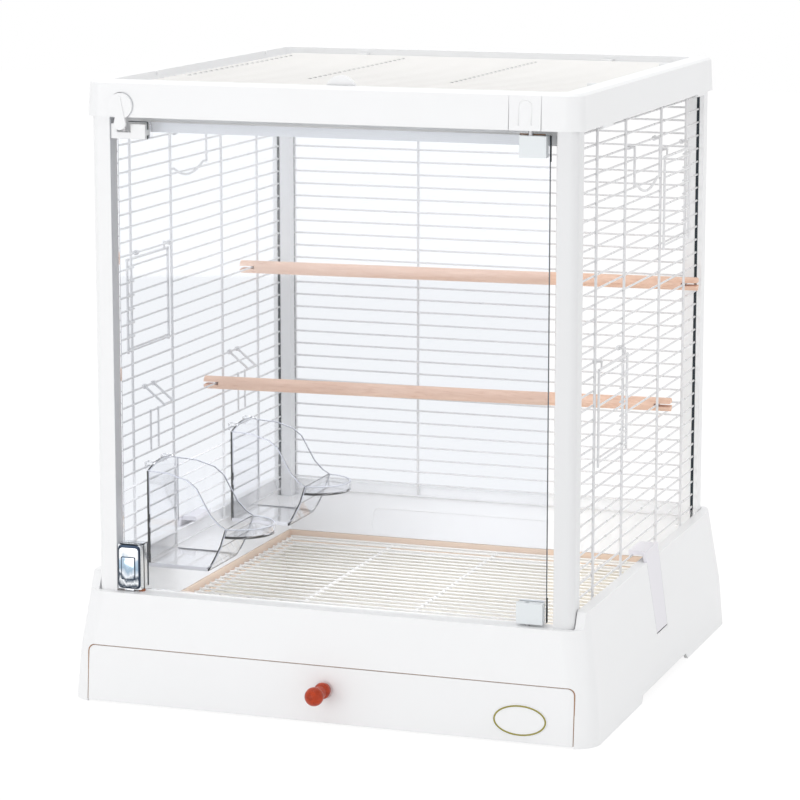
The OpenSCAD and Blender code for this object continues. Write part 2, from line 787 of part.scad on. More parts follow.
// Sprung latch box clipped round the lower free corner of the pane
module door_latch() {
    x = pane_left - grip_over;
    color(chrome_grey) cage() difference() {
        block([x, pane_front_y - 6, pane_z], [x + latch_w, pane_back_y + 8, pane_z + latch_h]);
        block([pane_left, pane_front_y, pane_z - over], [x + latch_w + over, pane_back_y, pane_z + latch_h + over]);
        translate([x + latch_w / 2, pane_front_y - 22.5, pane_z + latch_h / 2 - 3])
            rotate([-90, 0, 0]) cylinder(r1 = 19, r2 = 7, h = 18, $fn = 48);
    }
}

// Round lock knob on the lid's face with a blade that points down
module lock_knob() {
    face_y = -(lid_y + 2);
    back_y = -(lid_y - 2.2);
    color(white) cage() union() {
        rod_y(face_y, back_y - 1.4, lock_x, lock_z, lock_d);
        rod_y(back_y - 2, back_y + 8, lock_x, lock_z, 6);
        along_y(face_y - 1, -lid_y - 0.4) {
            translate([lock_x, lock_z - blade_len + blade_w]) circle(blade_w, $fn = 48);
            polygon([[lock_x - 0.6, lock_z + blade_top], [lock_x + 0.6, lock_z + blade_top],
                [lock_x + blade_w, lock_z - blade_len + blade_w], [lock_x - blade_w, lock_z - blade_len + blade_w]]);
        }
    }
}

module roof_grid() {
    end = recess_y - 4;
    color(wire_white) cage() union() {
        for (s = [-1, 1]) {
            rod_x(-roof_wire_end, roof_wire_end, s * roof_edge_y, roof_z, roof_rod_d);
            for (x = [roof_rod_in, roof_rod_out]) rod_y(-end, roof_edge_y + over, s * x, roof_z, roof_rod_d);
        }
        for (k = [-roof_wires:roof_wires])
            rod_x(-roof_wire_end, roof_wire_end, wire_pitch * k, roof_wire_z, wire_d);
    }
}

// Round finger tab that snaps over the roof's front rod
module roof_tab() {
    plate_y = -(recess_y - 1.4);
    color(white) cage() difference() {
        union() {
            rod_y(plate_y, plate_y + tab_t, tab_x, roof_z + 1.4, 2 * tab_r);
            block([tab_x - 9, plate_y, recess_z], [tab_x + 9, -roof_edge_y + 3.2, roof_z + 3.4]);
        }
        block([tab_x - 20, -lid_y, lid_z], [tab_x + 20, 0, recess_z + run_gap]);
        rod_x(tab_x - 20, tab_x + 20, -roof_edge_y, roof_z, roof_rod_d + 2 * bore_gap);
        block([tab_x - 20, -roof_edge_y - roof_rod_d / 2 - bore_gap, lid_z],
            [tab_x + 20, -roof_edge_y + roof_rod_d / 2 + bore_gap, roof_z]);
    }
}

// Eye round a wall wire with an arm out to the hanging plane
module eye(side, y, z, hang) {
    eye_r = wire_d / 2 + bore_gap;
    arm = side > 0 ? [wall_x + eye_r + 0.5, wall_x + hang] : [-wall_x - hang, -wall_x - eye_r - 0.5];
    difference() {
        union() {
            rod_y(y - eye_len / 2, y + eye_len / 2, side * wall_x, z, 2 * (eye_r + eye_wall));
            rod_x(arm[0], arm[1], y, z, rod_d);
        }
        rod_y(y - eye_len, y + eye_len, side * wall_x, z, 2 * eye_r);
    }
    translate([side * (wall_x + hang), y, z]) sphere(d = knee_d, $fn = 32);
}

// Wire door that hangs on the top wire of its port by two eyes set in from its frame
module wire_door(door) {
    side = door[0];
    mid = door[1] * bay_y;
    top = row_z(door[2] + door_rows);
    frame_z = top - frame_drop;
    x = side * (wall_x + door_hang);
    color(wire_white) cage() union() {
        for (s = [-1, 1]) {
            eye(side, mid + s * (bay_half - eye_inset), top, door_hang);
            rod_z(frame_z, top, x, mid + s * (bay_half - eye_inset), wire_d);
            rod_z(row_z(door[2]) - 4, frame_z, x, mid + s * bay_half, rod_d);
        }
        rod_y(mid - bay_half - knee_d / 2, mid + bay_half + knee_d / 2, x, frame_z, knee_d);
        for (k = [0:door_rows - 1]) rod_y(mid - bay_half, mid + bay_half, x, row_z(door[2] + k), wire_d);
    }
}

module wire_door_left() { wire_door(left_door); }
module wire_door_right_upper() { wire_door(right_upper_door); }
module wire_door_right_lower() { wire_door(right_lower_door); }

// Bail: two legs and a lower bar that dips in a wide curve
module bail(side, mid) {
    top = row_z(bail_row);
    low = top - bail_leg;
    x = side * (wall_x + bail_hang);
    half = bail_w / 2;
    dip = [for (i = [5:-1:-5]) [(half - dip_in) * i / 5, low - bail_dip * (1 - i * i / 25)]];
    route = concat([[half, top], [half, low]], dip, [[-half, low], [-half, top]]);
    color(wire_white) cage() union() {
        for (s = [-1, 1]) eye(side, mid + s * half, top, bail_hang);
        for (i = [0:len(route) - 2]) {
            a = route[i];
            d = route[i + 1] - a;
            translate([x, mid + a[0], a[1]]) rotate([-atan2(d[0], d[1]), 0, 0])
                cylinder(d = rod_d, h = norm(d), $fn = 32);
            if (i > 0) translate([x, mid + a[0], a[1]]) sphere(d = knee_d, $fn = 32);
        }
    }
}

module bail_left() { bail(-1, bail_left_y); }
module bail_right() { bail(1, bail_right_y); }

// Guard over a seed cup: two rods that slope into the cage, joined by a bar
module guard(mid) {
    z = row_z(guard_row);
    reach = norm([guard_in, guard_drop]);
    turn = atan2(guard_drop, guard_in);
    start = wire_d / 2 + bore_gap + 0.5;
    color(wire_white) cage() union() {
        for (s = [-1, 1]) {
            difference() {
                rod_y(mid + s * guard_w / 2 - eye_len / 2, mid + s * guard_w / 2 + eye_len / 2,
                    -wall_x, z, wire_d + 2 * bore_gap + 2 * eye_wall);
                rod_y(mid - guard_w, mid + guard_w, -wall_x, z, wire_d + 2 * bore_gap);
            }
            translate([-wall_x, mid + s * guard_w / 2, z]) rotate([0, 90 + turn, 0])
                translate([0, 0, start]) cylinder(d = rod_d, h = reach - start, $fn = 32);
        }
        rod_y(mid - guard_w / 2 - over, mid + guard_w / 2 + over, -wall_x + guard_in, z - guard_drop, rod_d);
    }
}

module guard_front() { guard(guard_front_y); }
module guard_rear() { guard(guard_rear_y); }

// Seed cup: outline of its cheeks from the foot round the lip to the top
module seed_cup(mid) {
    z = row_z(cup_row);
    t = cup_wall;
    half = cup_w / 2;
    lip = cup_reach;
    low = z - 87;
    lip_z = z - 50;
    dish_deep = 8;
    foot = [[0, low], [lip - 17, low - 1], [lip - 13, low + 5.5], [lip - 5, low + 21], [lip, lip_z]];
    sweep = [[lip - 7, z - 46], [lip - 15, z - 38], [lip - 22, z - 26], [lip - 28, z - 15], [lip - 37, z - 8],
        [lip - 55, z - 3], [0, z - 2]];
    inside = [[t, low + t], [lip - 18, low + t - 1], [lip - 14.8, low + 6.5], [lip - 6.9, low + 21.8], [lip - t, lip_z]];
    hook_in = wall_x - wire_d / 2;
    color(clear) cage() union() {
        translate([cup_x, mid, 0]) {
            // Cheeks, foot and rounded back plate
            for (s = [-1, 1]) along_y(s > 0 ? half - t : -half, s > 0 ? half : -half + t)
                polygon(concat(foot, sweep));
            along_y(-half, half) polygon(concat(foot, [for (i = [4:-1:0]) inside[i]], [[t, z - 2], [0, z - 2]]));
            along_x(0, t) intersection() {
                translate([-half, low]) square([2 * half, z + 4 - low]);
                translate([0, z - 80 + 4]) circle(80, $fn = 96);
            }
            // Landing dish
            translate([lip, 0, lip_z - dish_deep]) difference() {
                cylinder(r = dish_r, h = dish_deep, $fn = 64);
                translate([0, 0, t]) cylinder(r = dish_r - t, h = dish_deep, $fn = 64);
                block([-2 * dish_r, -2 * dish_r, -over], [-t, 2 * dish_r, dish_deep + over]);
            }
        }
        // Hooks over the wall wire
        for (s = [-1, 1]) translate([0, mid + s * half * 0.55, 0]) {
            block([-hook_in - wire_d - 2.4, -4, z + wire_d / 2 + run_gap], [cup_x + t, 4, z + wire_d / 2 + 2.3]);
            block([-hook_in - wire_d - 2.4, -4, z - 3], [-hook_in - wire_d - 0.4, 4, z + wire_d / 2 + 2.3]);
        }
    }
}

module seed_cup_front() { seed_cup(cup_front_y); }
module seed_cup_rear() { seed_cup(cup_rear_y); }

// Side clip: lever on a pin low in the skirt, hooked over the second wire
module side_clip(side) {
    hook_z = row_z(1) + wire_d / 2 + slot_gap;
    color(white) cage() at_corner(side, 1) difference() {
        union() {
            clip_shape(0, 0);
            rod_y(-clip_bottom_w / 2, clip_bottom_w / 2, clip_pin_x, clip_pin_z, 8);
            block([wall_x - 2, -clip_w / 2 + 3, hook_z], [skirt_x(hook_z) - over, clip_w / 2 - 3, clip_top_z]);
        }
        rod_y(-clip_w, clip_w, clip_pin_x, clip_pin_z, 2 * (clip_pin_r + bore_gap));
    }
}

module side_clip_left() { side_clip(-1); }
module side_clip_right() { side_clip(1); }

base_shell();
floor_surround();
floor_grid();
post_front_left();
post_front_right();
post_rear_left();
post_rear_right();
wire_wall_left();
wire_wall_right();
wire_wall_rear();
lid_frame();
upper_perch();
lower_perch();
door_pins();
clip_pins();
roof_hinge_clips();
latch_buffers();
drawer_front();
drawer_tray();
drawer_knob();
drawer_knob_screw();
drawer_badge();
door_pane();
door_hinge_upper();
door_hinge_lower();
door_keeper();
door_latch();
lock_knob();
roof_grid();
roof_tab();
wire_door_left();
wire_door_right_upper();
wire_door_right_lower();
bail_left();
bail_right();
guard_front();
guard_rear();
seed_cup_front();
seed_cup_rear();
side_clip_left();
side_clip_right();
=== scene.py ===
"""Bird cage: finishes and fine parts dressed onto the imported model, in metres."""

import json
import logging
import math
from dataclasses import dataclass
from enum import Enum

import bmesh
import bpy
from mathutils import Matrix, Vector


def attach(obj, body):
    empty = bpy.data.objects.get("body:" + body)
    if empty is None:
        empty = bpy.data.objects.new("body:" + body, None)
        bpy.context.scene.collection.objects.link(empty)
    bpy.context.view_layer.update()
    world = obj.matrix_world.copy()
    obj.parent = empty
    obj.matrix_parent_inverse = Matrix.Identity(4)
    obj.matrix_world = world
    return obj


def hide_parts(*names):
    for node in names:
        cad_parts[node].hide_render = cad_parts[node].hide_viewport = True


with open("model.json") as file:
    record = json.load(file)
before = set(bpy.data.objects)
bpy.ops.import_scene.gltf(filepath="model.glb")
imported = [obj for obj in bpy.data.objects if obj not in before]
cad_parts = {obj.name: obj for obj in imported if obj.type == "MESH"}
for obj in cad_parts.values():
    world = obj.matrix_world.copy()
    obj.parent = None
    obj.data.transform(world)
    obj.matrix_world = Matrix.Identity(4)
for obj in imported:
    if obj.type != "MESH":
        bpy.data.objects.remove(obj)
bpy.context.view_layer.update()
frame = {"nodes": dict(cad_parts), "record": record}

LOG = logging.getLogger("bird_cage")
MM = 0.001
# The cage's middle stands this far behind the origin, in millimetres.
CAGE_Y = 15.0
# A CAD node's edges that turn more than SHARP are rounded; faces that turn less than FLAT are one.
SHARP = math.radians(35)
FLAT = math.radians(0.5)
SAME_POINT = 1e-6
# Height of the clear door's foot and of the latch's top, in millimetres.
DOOR_LOW = 98.0
LATCH_TOP = 137.0

Tree = bpy.types.NodeTree
Socket = bpy.types.NodeSocket
Operand = bpy.types.NodeSocket | float
Tool = bmesh.types.BMesh


class Body(Enum):
    """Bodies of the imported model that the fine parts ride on."""

    CAGE = "cage"
    DRAWER = "drawer"
    FRONT_DOOR = "front_door"
    LOCK = "lock"
    ROOF = "roof"
    FRONT_CUP = "front_cup"
    REAR_CUP = "rear_cup"
    LEFT_CLIP = "left_clip"
    RIGHT_CLIP = "right_clip"


class Surface(Enum):
    """Kinds of surface; the moulded skin also coats the wires."""

    MOULDED = "moulded"
    WOOD = "wood"
    TURNED = "turned"
    CLEAR = "clear"
    METAL = "metal"
    REFLECTION_PLATED = "plated"


def at(x: float, y: float, z: float) -> Vector:
    """Place in metres of a point given in the cage's millimetres."""
    return Vector((x * MM, (y + CAGE_Y) * MM, z * MM))


def arc(centre: tuple, radius: float, start: float, end: float, steps: int) -> list:
    """Lay points along an arc in a plane, in equal steps from one angle in degrees to another."""
    angles = [math.radians(start + (end - start) * step / steps) for step in range(steps + 1)]
    return [(centre[0] + radius * math.cos(a), centre[1] + radius * math.sin(a)) for a in angles]


# ---------------- shader groups


def new_group(name: str, inputs: dict, outputs: list) -> tuple:
    """Start a shader node group that works on the coordinates at its Vector input.

    Args:
        name: name of the group.
        inputs: first value of each other input by its name, a number or a vector.
        outputs: name of each output, all of them numbers.

    Returns:
        The group and its input and output nodes.
    """
    group = bpy.data.node_groups.new(name, "ShaderNodeTree")
    for label, value in {"Vector": (0, 0, 0), **inputs}.items():
        kind = "NodeSocketVector" if isinstance(value, tuple) else "NodeSocketFloat"
        socket = group.interface.new_socket(name=label, in_out="INPUT", socket_type=kind)
        socket.default_value = value
    for label in outputs:
        group.interface.new_socket(name=label, in_out="OUTPUT", socket_type="NodeSocketFloat")
    return group, group.nodes.new("NodeGroupInput"), group.nodes.new("NodeGroupOutput")


def feed(tree: Tree, value: Operand, socket: Socket) -> None:
    """Link a socket into another, or set a number on it.

    Args:
        tree: node tree of both.
        value: the first socket, or the number.
        socket: the socket that takes it.
    """
    if isinstance(value, bpy.types.NodeSocket):
        tree.links.new(value, socket)
    else:
        socket.default_value = value


def math_node(tree: Tree, operation: str, first: Operand, second: Operand) -> Socket:
    """Add a Math node on two sockets or numbers and return the socket of its result."""
    node = tree.nodes.new("ShaderNodeMath")
    node.operation = operation
    feed(tree, first, node.inputs[0])
    feed(tree, second, node.inputs[1])
    return node.outputs[0]


def blend(tree: Tree, first: Socket, second: Socket, share: float) -> Socket:
    """Add up two sockets, the first with a share and the second with the rest."""
    rest = math_node(tree, "MULTIPLY", second, 1 - share)
    return math_node(tree, "ADD", math_node(tree, "MULTIPLY", first, share), rest)


def noise(tree: Tree, vector: Socket, scale: Operand, detail: float) -> Socket:
    """Add a Noise Texture on the coordinates of a socket and return the socket of its factor."""
    node = tree.nodes.new("ShaderNodeTexNoise")
    node.inputs["Detail"].default_value = detail
    tree.links.new(vector, node.inputs["Vector"])
    feed(tree, scale, node.inputs["Scale"])
    return node.outputs["Fac"]


def seen_directly(tree: Tree) -> Socket:
    """Tell what the eye sees from what only takes or gives light.

    Args:
        tree: node tree of a material or of the world.

    Returns:
        A socket: 1 for rays from the camera, in reflections and through clear plastic, else 0.
    """
    path = tree.nodes.new("ShaderNodeLightPath")
    seen = math_node(tree, "MAXIMUM", path.outputs["Is Camera Ray"], path.outputs["Is Glossy Ray"])
    return math_node(tree, "MAXIMUM", seen, path.outputs["Is Transmission Ray"])


def mould_group() -> Tree:
    """Build the fine moulded skin.

    Returns:
        A group that gives a broad tone, a satin spread and an orange-peel height.
    """
    tree, start, end = new_group("moulded_skin", {"Grain": 900.0}, ["Tone", "Satin", "Height"])
    place = start.outputs["Vector"]
    tone = noise(tree, place, scale=9.0, detail=3.0)
    satin = noise(tree, place, scale=120.0, detail=4.0)
    grain = noise(tree, place, scale=start.outputs["Grain"], detail=1.0)
    tree.links.new(tone, end.inputs["Tone"])
    tree.links.new(satin, end.inputs["Satin"])
    tree.links.new(blend(tree, grain, satin, share=0.7), end.inputs["Height"])
    return tree


def grain_group() -> Tree:
    """Build the wood grain, long in the direction that is stretched least.

    Returns:
        A group that gives bands, dark pores and a height.
    """
    inputs, outputs = {"Stretch": (4, 90, 90)}, ["Bands", "Pores", "Height"]
    tree, start, end = new_group("long_grain", inputs, outputs)
    stretch = tree.nodes.new("ShaderNodeVectorMath")
    stretch.operation = "MULTIPLY"
    tree.links.new(start.outputs["Vector"], stretch.inputs[0])
    tree.links.new(start.outputs["Stretch"], stretch.inputs[1])
    place = stretch.outputs["Vector"]
    bands = noise(tree, place, scale=2.2, detail=6.0)
    fibre = noise(tree, place, scale=14.0, detail=3.0)
    pore_rate, pore_depth = 0.62, 0.6
    pores = math_node(tree, "GREATER_THAN", noise(tree, place, scale=9.0, detail=2.0), pore_rate)
    tree.links.new(blend(tree, bands, fibre, share=0.7), end.inputs["Bands"])
    tree.links.new(pores, end.inputs["Pores"])
    sunk = math_node(tree, "MULTIPLY", pores, pore_depth)
    tree.links.new(math_node(tree, "SUBTRACT", fibre, sunk), end.inputs["Height"])
    return tree


def streak_group() -> Tree:
    """Build the smears of clear plastic and plating.

    Returns:
        A group that gives soft smears and a height of fine scuffs.
    """
    tree, start, end = new_group("soft_streaks", {"Size": 7.0}, ["Smear", "Height"])
    tilt = tree.nodes.new("ShaderNodeMapping")
    tilt.inputs["Rotation"].default_value = (0.3, 0.5, 0.2)
    tilt.inputs["Scale"].default_value = (1.0, 1.0, 0.35)
    tree.links.new(start.outputs["Vector"], tilt.inputs["Vector"])
    place = tilt.outputs["Vector"]
    tree.links.new(noise(tree, place, scale=start.outputs["Size"], detail=3.0), end.inputs["Smear"])
    tree.links.new(noise(tree, place, scale=260.0, detail=2.0), end.inputs["Height"])
    return tree


class Groups:
    """The shader groups, each built once."""

    def __init__(self) -> None:
        """Build every group."""
        self.mould = mould_group()
        self.grain = grain_group()
        self.streak = streak_group()


# ---------------- finishes


@dataclass(frozen=True)
class Finish:
    """One finish of the cage: its look and the record's slot it belongs to.

    Attributes:
        name: name of its material.
        slot: material slot of the record.
        color: main colour.
        deep: colour in the grain, in the smears, or the painted shade where clear plastic turns
            edge-on.
        rough: middle of the roughness.
        surface: kind of surface, which picks the way its shader is built.
        rough_spread: how far the roughness spreads.
        grain: scale of the moulded skin's grain.
        bump: strength of the relief.
        ior: index of refraction of wood and clear plastic.
    """

    name: str
    slot: str
    color: tuple
    deep: tuple
    rough: float
    surface: Surface = Surface.MOULDED
    rough_spread: float = 0.06
    grain: float = 900.0
    bump: float = 0.05
    ior: float = 1.46


class Painter:
    """Builds the material of one finish."""

    def __init__(self, finish: Finish, groups: Groups) -> None:
        """Start the material.

        Args:
            finish: the finish.
            groups: the shared shader groups.
        """
        self.finish = finish
        self.groups = groups
        self.material = bpy.data.materials.new(finish.name)
        self.material.use_nodes = True
        self.material.diffuse_color = (*finish.color, 1.0)
        self.tree = self.material.node_tree
        self.inputs = self.tree.nodes["Principled BSDF"].inputs
        self.place = self.tree.nodes.new("ShaderNodeTexCoord").outputs["Object"]

    def build(self) -> bpy.types.Material:
        """Build the shader for the finish's kind of surface.

        Returns:
            The finished material.
        """
        makers = {
            Surface.MOULDED: self._moulded,
            Surface.WOOD: self._wood,
            Surface.TURNED: self._wood,
            Surface.CLEAR: self._clear,
            Surface.METAL: self._metal,
            Surface.REFLECTION_PLATED: self._plating_with_painted_reflections,
        }
        makers[self.finish.surface]()
        return self.material

    def _group(self, group: Tree, **values: float | tuple) -> bpy.types.NodeOutputs:
        """Place a shader group on the object's coordinates.

        Args:
            group: the group.
            values: value of each of its inputs that is set.

        Returns:
            Its outputs.
        """
        node = self.tree.nodes.new("ShaderNodeGroup")
        node.node_tree = group
        self.tree.links.new(self.place, node.inputs["Vector"])
        for name, value in values.items():
            node.inputs[name].default_value = value
        return node.outputs

    def _ramp(self, value: Socket, low: float, high: float) -> Socket:
        """Run from 0 to 1 while another socket runs through a range.

        Args:
            value: the other socket.
            low: its value at 0.
            high: its value at 1.

        Returns:
            The result's socket.
        """
        node = self.tree.nodes.new("ShaderNodeMapRange")
        node.inputs["From Min"].default_value = low
        node.inputs["From Max"].default_value = high
        self.tree.links.new(value, node.inputs["Value"])
        return node.outputs["Result"]

    def _mix(self, factor: Socket) -> None:
        """Run the base colour from the main to the deep colour.

        Args:
            factor: socket that is 0 at the main colour and 1 at the deep one.
        """
        mix = self.tree.nodes.new("ShaderNodeMix")
        mix.data_type = "RGBA"
        self.tree.links.new(factor, mix.inputs["Factor"])
        mix.inputs["A"].default_value = (*self.finish.color, 1.0)
        mix.inputs["B"].default_value = (*self.finish.deep, 1.0)
        self.tree.links.new(mix.outputs["Result"], self.inputs["Base Color"])

    def _relief(self, rough: Socket, height: Socket, distance: float) -> None:
        """Spread the roughness and raise the surface.

        Args:
            rough: socket that spreads the roughness about its middle.
            height: socket of the relief.
            distance: depth of the relief in metres.
        """
        spread = self.finish.rough_spread
        rough = math_node(self.tree, "MULTIPLY", rough, spread)
        rough = math_node(self.tree, "ADD", rough, self.finish.rough - spread / 2)
        self.tree.links.new(rough, self.inputs["Roughness"])
        bump = self.tree.nodes.new("ShaderNodeBump")
        bump.inputs["Strength"].default_value = self.finish.bump
        bump.inputs["Distance"].default_value = distance
        self.tree.links.new(height, bump.inputs["Height"])
        self.tree.links.new(bump.outputs["Normal"], self.inputs["Normal"])

    def _moulded(self) -> None:
        """Moulded plastic or epoxy coat: a satin skin with a faint change of tone."""
        skin = self._group(self.groups.mould, Grain=self.finish.grain)
        self._mix(skin["Tone"])
        self._relief(skin["Satin"], skin["Height"], distance=0.0004)
        self.inputs["IOR"].default_value = 1.48

    def _wood(self) -> None:
        """Wood with its grain along the perch, or round the turned knob."""
        along = (5, 100, 100) if self.finish.surface is Surface.WOOD else (120, 40, 120)
        pore_share = 0.25
        grain = self._group(self.groups.grain, Stretch=along)
        pores = math_node(self.tree, "MULTIPLY", grain["Pores"], pore_share)
        bands = math_node(self.tree, "ADD", grain["Bands"], pores)
        self._mix(self._ramp(bands, low=0.32, high=0.85))
        self._relief(grain["Bands"], grain["Height"], distance=0.0006)
        self.inputs["IOR"].default_value = self.finish.ior

    def _clear(self) -> None:
        """Clear plastic: painted shade runs it to its deep colour where it turns edge-on, and light
        passes to what is behind it.
        """
        shadow_cleared = 0.985
        streaks = self._group(self.groups.streak, Size=6.0)
        # Painted edge shade: the base colour runs to the deep colour where the surface turns
        # edge-on.
        edge = self.tree.nodes.new("ShaderNodeLayerWeight")
        edge.inputs["Blend"].default_value = 0.25
        self._mix(edge.outputs["Facing"])
        self._relief(streaks["Smear"], streaks["Height"], distance=0.0002)
        self.inputs["Transmission Weight"].default_value = 1.0
        self.inputs["IOR"].default_value = self.finish.ior
        path = self.tree.nodes.new("ShaderNodeLightPath")
        unlit = math_node(self.tree, "MULTIPLY", path.outputs["Is Shadow Ray"], shadow_cleared)
        self.tree.links.new(math_node(self.tree, "SUBTRACT", 1.0, unlit), self.inputs["Alpha"])

    def _metal(self) -> None:
        """Bright or plain metal with faint smears."""
        streaks = self._group(self.groups.streak, Size=90.0)
        self.inputs["Metallic"].default_value = 1.0
        self._mix(streaks["Smear"])
        self._relief(streaks["Smear"], streaks["Height"], distance=0.0003)

    def _plating_with_painted_reflections(self) -> None:
        """Bright plate of the latch, with broken dark and blue bands of painted reflection, as on a
        polished dish.
        """
        tree = self.tree
        streaks = self._group(self.groups.streak, Size=140.0)
        self.inputs["Metallic"].default_value = 1.0
        split = tree.nodes.new("ShaderNodeSeparateXYZ")
        tree.links.new(self.place, split.inputs["Vector"])
        rise = self._ramp(split.outputs["Z"], DOOR_LOW * MM, LATCH_TOP * MM)
        wave = math_node(tree, "SUBTRACT", streaks["Smear"], 0.5)
        broken = math_node(tree, "MULTIPLY", wave, 0.5)
        bands = tree.nodes.new("ShaderNodeValToRGB")
        tree.links.new(math_node(tree, "ADD", rise, broken), bands.inputs["Fac"])
        stops = bands.color_ramp.elements
        while len(stops) < len(PAINTED_REFLECTION_BANDS):
            stops.new(0.5)
        for stop, (height, color) in zip(stops, PAINTED_REFLECTION_BANDS):
            stop.position = height
            stop.color = (*color, 1.0)
        tree.links.new(bands.outputs["Color"], self.inputs["Base Color"])
        self._relief(streaks["Smear"], streaks["Height"], distance=0.0003)


# Share of the latch's height and colour of each band of painted reflection on its plating.
PAINTED_REFLECTION_BANDS = (
    (0.0, (0.70, 0.76, 0.82)),
    (0.10, (0.03, 0.05, 0.08)),
    (0.17, (0.90, 0.93, 0.96)),
    (0.26, (0.06, 0.09, 0.13)),
    (0.34, (0.86, 0.90, 0.95)),
    (0.46, (0.38, 0.50, 0.62)),
    (0.66, (0.50, 0.63, 0.76)),
    (0.76, (0.96, 0.97, 0.98)),
    (1.0, (0.90, 0.92, 0.95)),
)
WHITE = Finish("white_moulding", "white_plastic", (0.885, 0.89, 0.90), (0.865, 0.868, 0.875), 0.36)
# Darker copy of the white moulding: painted shade on two of the posts.
SHADED_POST = Finish("post_painted_shade", "white_plastic", (0.80, 0.805, 0.815), (0.78, 0.785, 0.795), 0.38)
# Blue-grey copy of the white moulding: painted shade on the door's hinge blocks.
SHADED_BLOCK = Finish("block_painted_shade", "white_plastic", (0.78, 0.815, 0.835), (0.76, 0.795, 0.815), 0.3)
LILAC = Finish("clip_moulding", "white_plastic", (0.83, 0.815, 0.86), (0.80, 0.785, 0.83), 0.34)
TAN = Finish("tan_moulding", "tan_plastic", (0.86, 0.69, 0.56), (0.82, 0.65, 0.52), 0.5, bump=0.08)
CREAM = Finish(
    "cream_moulding", "cream_plastic", (0.92, 0.88, 0.80), (0.89, 0.85, 0.77), 0.5, bump=0.08
)
WIRE = Finish(
    "coated_wire", "coated_wire", (0.80, 0.80, 0.81), (0.74, 0.74, 0.755), 0.28,
    grain=500.0, bump=0.12,
)
GRID = Finish(
    "grid_wire", "coated_wire", (0.90, 0.888, 0.868), (0.86, 0.85, 0.832), 0.3,
    grain=500.0, bump=0.12,
)
BEECH = Finish(
    "beech", "beech_wood", (0.92, 0.65, 0.51), (0.74, 0.46, 0.335), 0.6,
    surface=Surface.WOOD, rough_spread=0.12, bump=0.25,
)
RED_WOOD = Finish(
    "red_turned_wood", "red_wood", (0.52, 0.058, 0.015), (0.24, 0.022, 0.007), 0.28,
    surface=Surface.TURNED, bump=0.08, ior=1.32,
)
PANE = Finish(
    "door_plastic", "clear_plastic", (0.865, 0.885, 0.92), (0.86, 0.90, 0.95), 0.02,
    surface=Surface.CLEAR, rough_spread=0.03, bump=0.01,
)
CUP = Finish(
    "cup_plastic", "clear_plastic", (0.992, 0.993, 1.0), (0.86, 0.875, 0.92), 0.03,
    surface=Surface.CLEAR, rough_spread=0.04, bump=0.03, ior=1.42,
)
# Grey-blue painted shade on the clear cups' edges, paler along their feet.
CUP_EDGE_SHADE = Finish("cup_edge_shade", "clear_plastic", (0.62, 0.635, 0.70), (0.50, 0.515, 0.59), 0.25)
CUP_FOOT_SHADE = Finish("cup_foot_shade", "clear_plastic", (0.80, 0.805, 0.85), (0.74, 0.745, 0.80), 0.3)
CHROME = Finish(
    "bright_plating", "chrome", (0.86, 0.88, 0.90), (0.74, 0.77, 0.81), 0.10,
    surface=Surface.METAL, bump=0.03,
)
# Latch plating; its colour is the painted reflection bands.
REFLECTION_PLATED = Finish(
    "latch_plating_painted_reflections", "chrome", (0.80, 0.84, 0.88), (0.30, 0.40, 0.50), 0.10,
    surface=Surface.REFLECTION_PLATED, rough_spread=0.08, bump=0.06,
)
# Near-black plating: painted shade along the latch's edges.
SHADE_PLATE = Finish(
    "shaded_plating", "chrome", (0.055, 0.075, 0.11), (0.02, 0.03, 0.05), 0.25,
    surface=Surface.METAL,
)
STEEL = Finish(
    "plain_steel", "steel", (0.55, 0.55, 0.56), (0.42, 0.42, 0.43), 0.32,
    surface=Surface.METAL, bump=0.1,
)
BUFFER = Finish(
    "buffer_rubber", "brown_rubber", (0.45, 0.17, 0.08), (0.32, 0.11, 0.05), 0.6, bump=0.2
)
# Near-black painted shade, put in slots, gaps and along edges where shade falls.
SHADE = Finish("slot_shade", "steel", (0.015, 0.025, 0.035), (0.008, 0.014, 0.02), 0.6, bump=0.1)
ROD_SHADE = Finish(
    "rod_shade", "coated_wire", (0.115, 0.12, 0.13), (0.08, 0.085, 0.095), 0.5, bump=0.1
)
# Grey painted shade for shadow lines and shaded faces.
GREY_SHADE = Finish("grey_painted_shade", "white_plastic", (0.60, 0.61, 0.64), (0.54, 0.55, 0.58), 0.5)
# Pale painted shade for the gap over the pane's top edge.
PALE_SHADE = Finish("pale_painted_shade", "white_plastic", (0.94, 0.935, 0.935), (0.90, 0.895, 0.895), 0.5)
# Brown: the drawer's tan lip darkened with painted shade in its gap, and painted shade in the gap
# over the pane's hinge.
GAP_SHADE = Finish(
    "lip_and_gap_shade", "tan_plastic", (0.40, 0.23, 0.14), (0.32, 0.18, 0.10), 0.6, bump=0.1
)
OLIVE = Finish("badge_ring", "tan_plastic", (0.34, 0.29, 0.04), (0.25, 0.23, 0.03), 0.35)
# Dark grey painted shade on the clear pane's edge.
PANE_EDGE_SHADE = Finish("pane_edge", "clear_plastic", (0.17, 0.19, 0.22), (0.10, 0.115, 0.135), 0.3)
FINISHES = (
    WHITE, SHADED_POST, SHADED_BLOCK, LILAC, TAN, CREAM, WIRE, GRID, BEECH, RED_WOOD, PANE, CUP, CUP_EDGE_SHADE,
    CUP_FOOT_SHADE, CHROME, REFLECTION_PLATED, SHADE_PLATE, STEEL, BUFFER, SHADE, ROD_SHADE, GREY_SHADE, PALE_SHADE,
    GAP_SHADE, OLIVE, PANE_EDGE_SHADE,
)

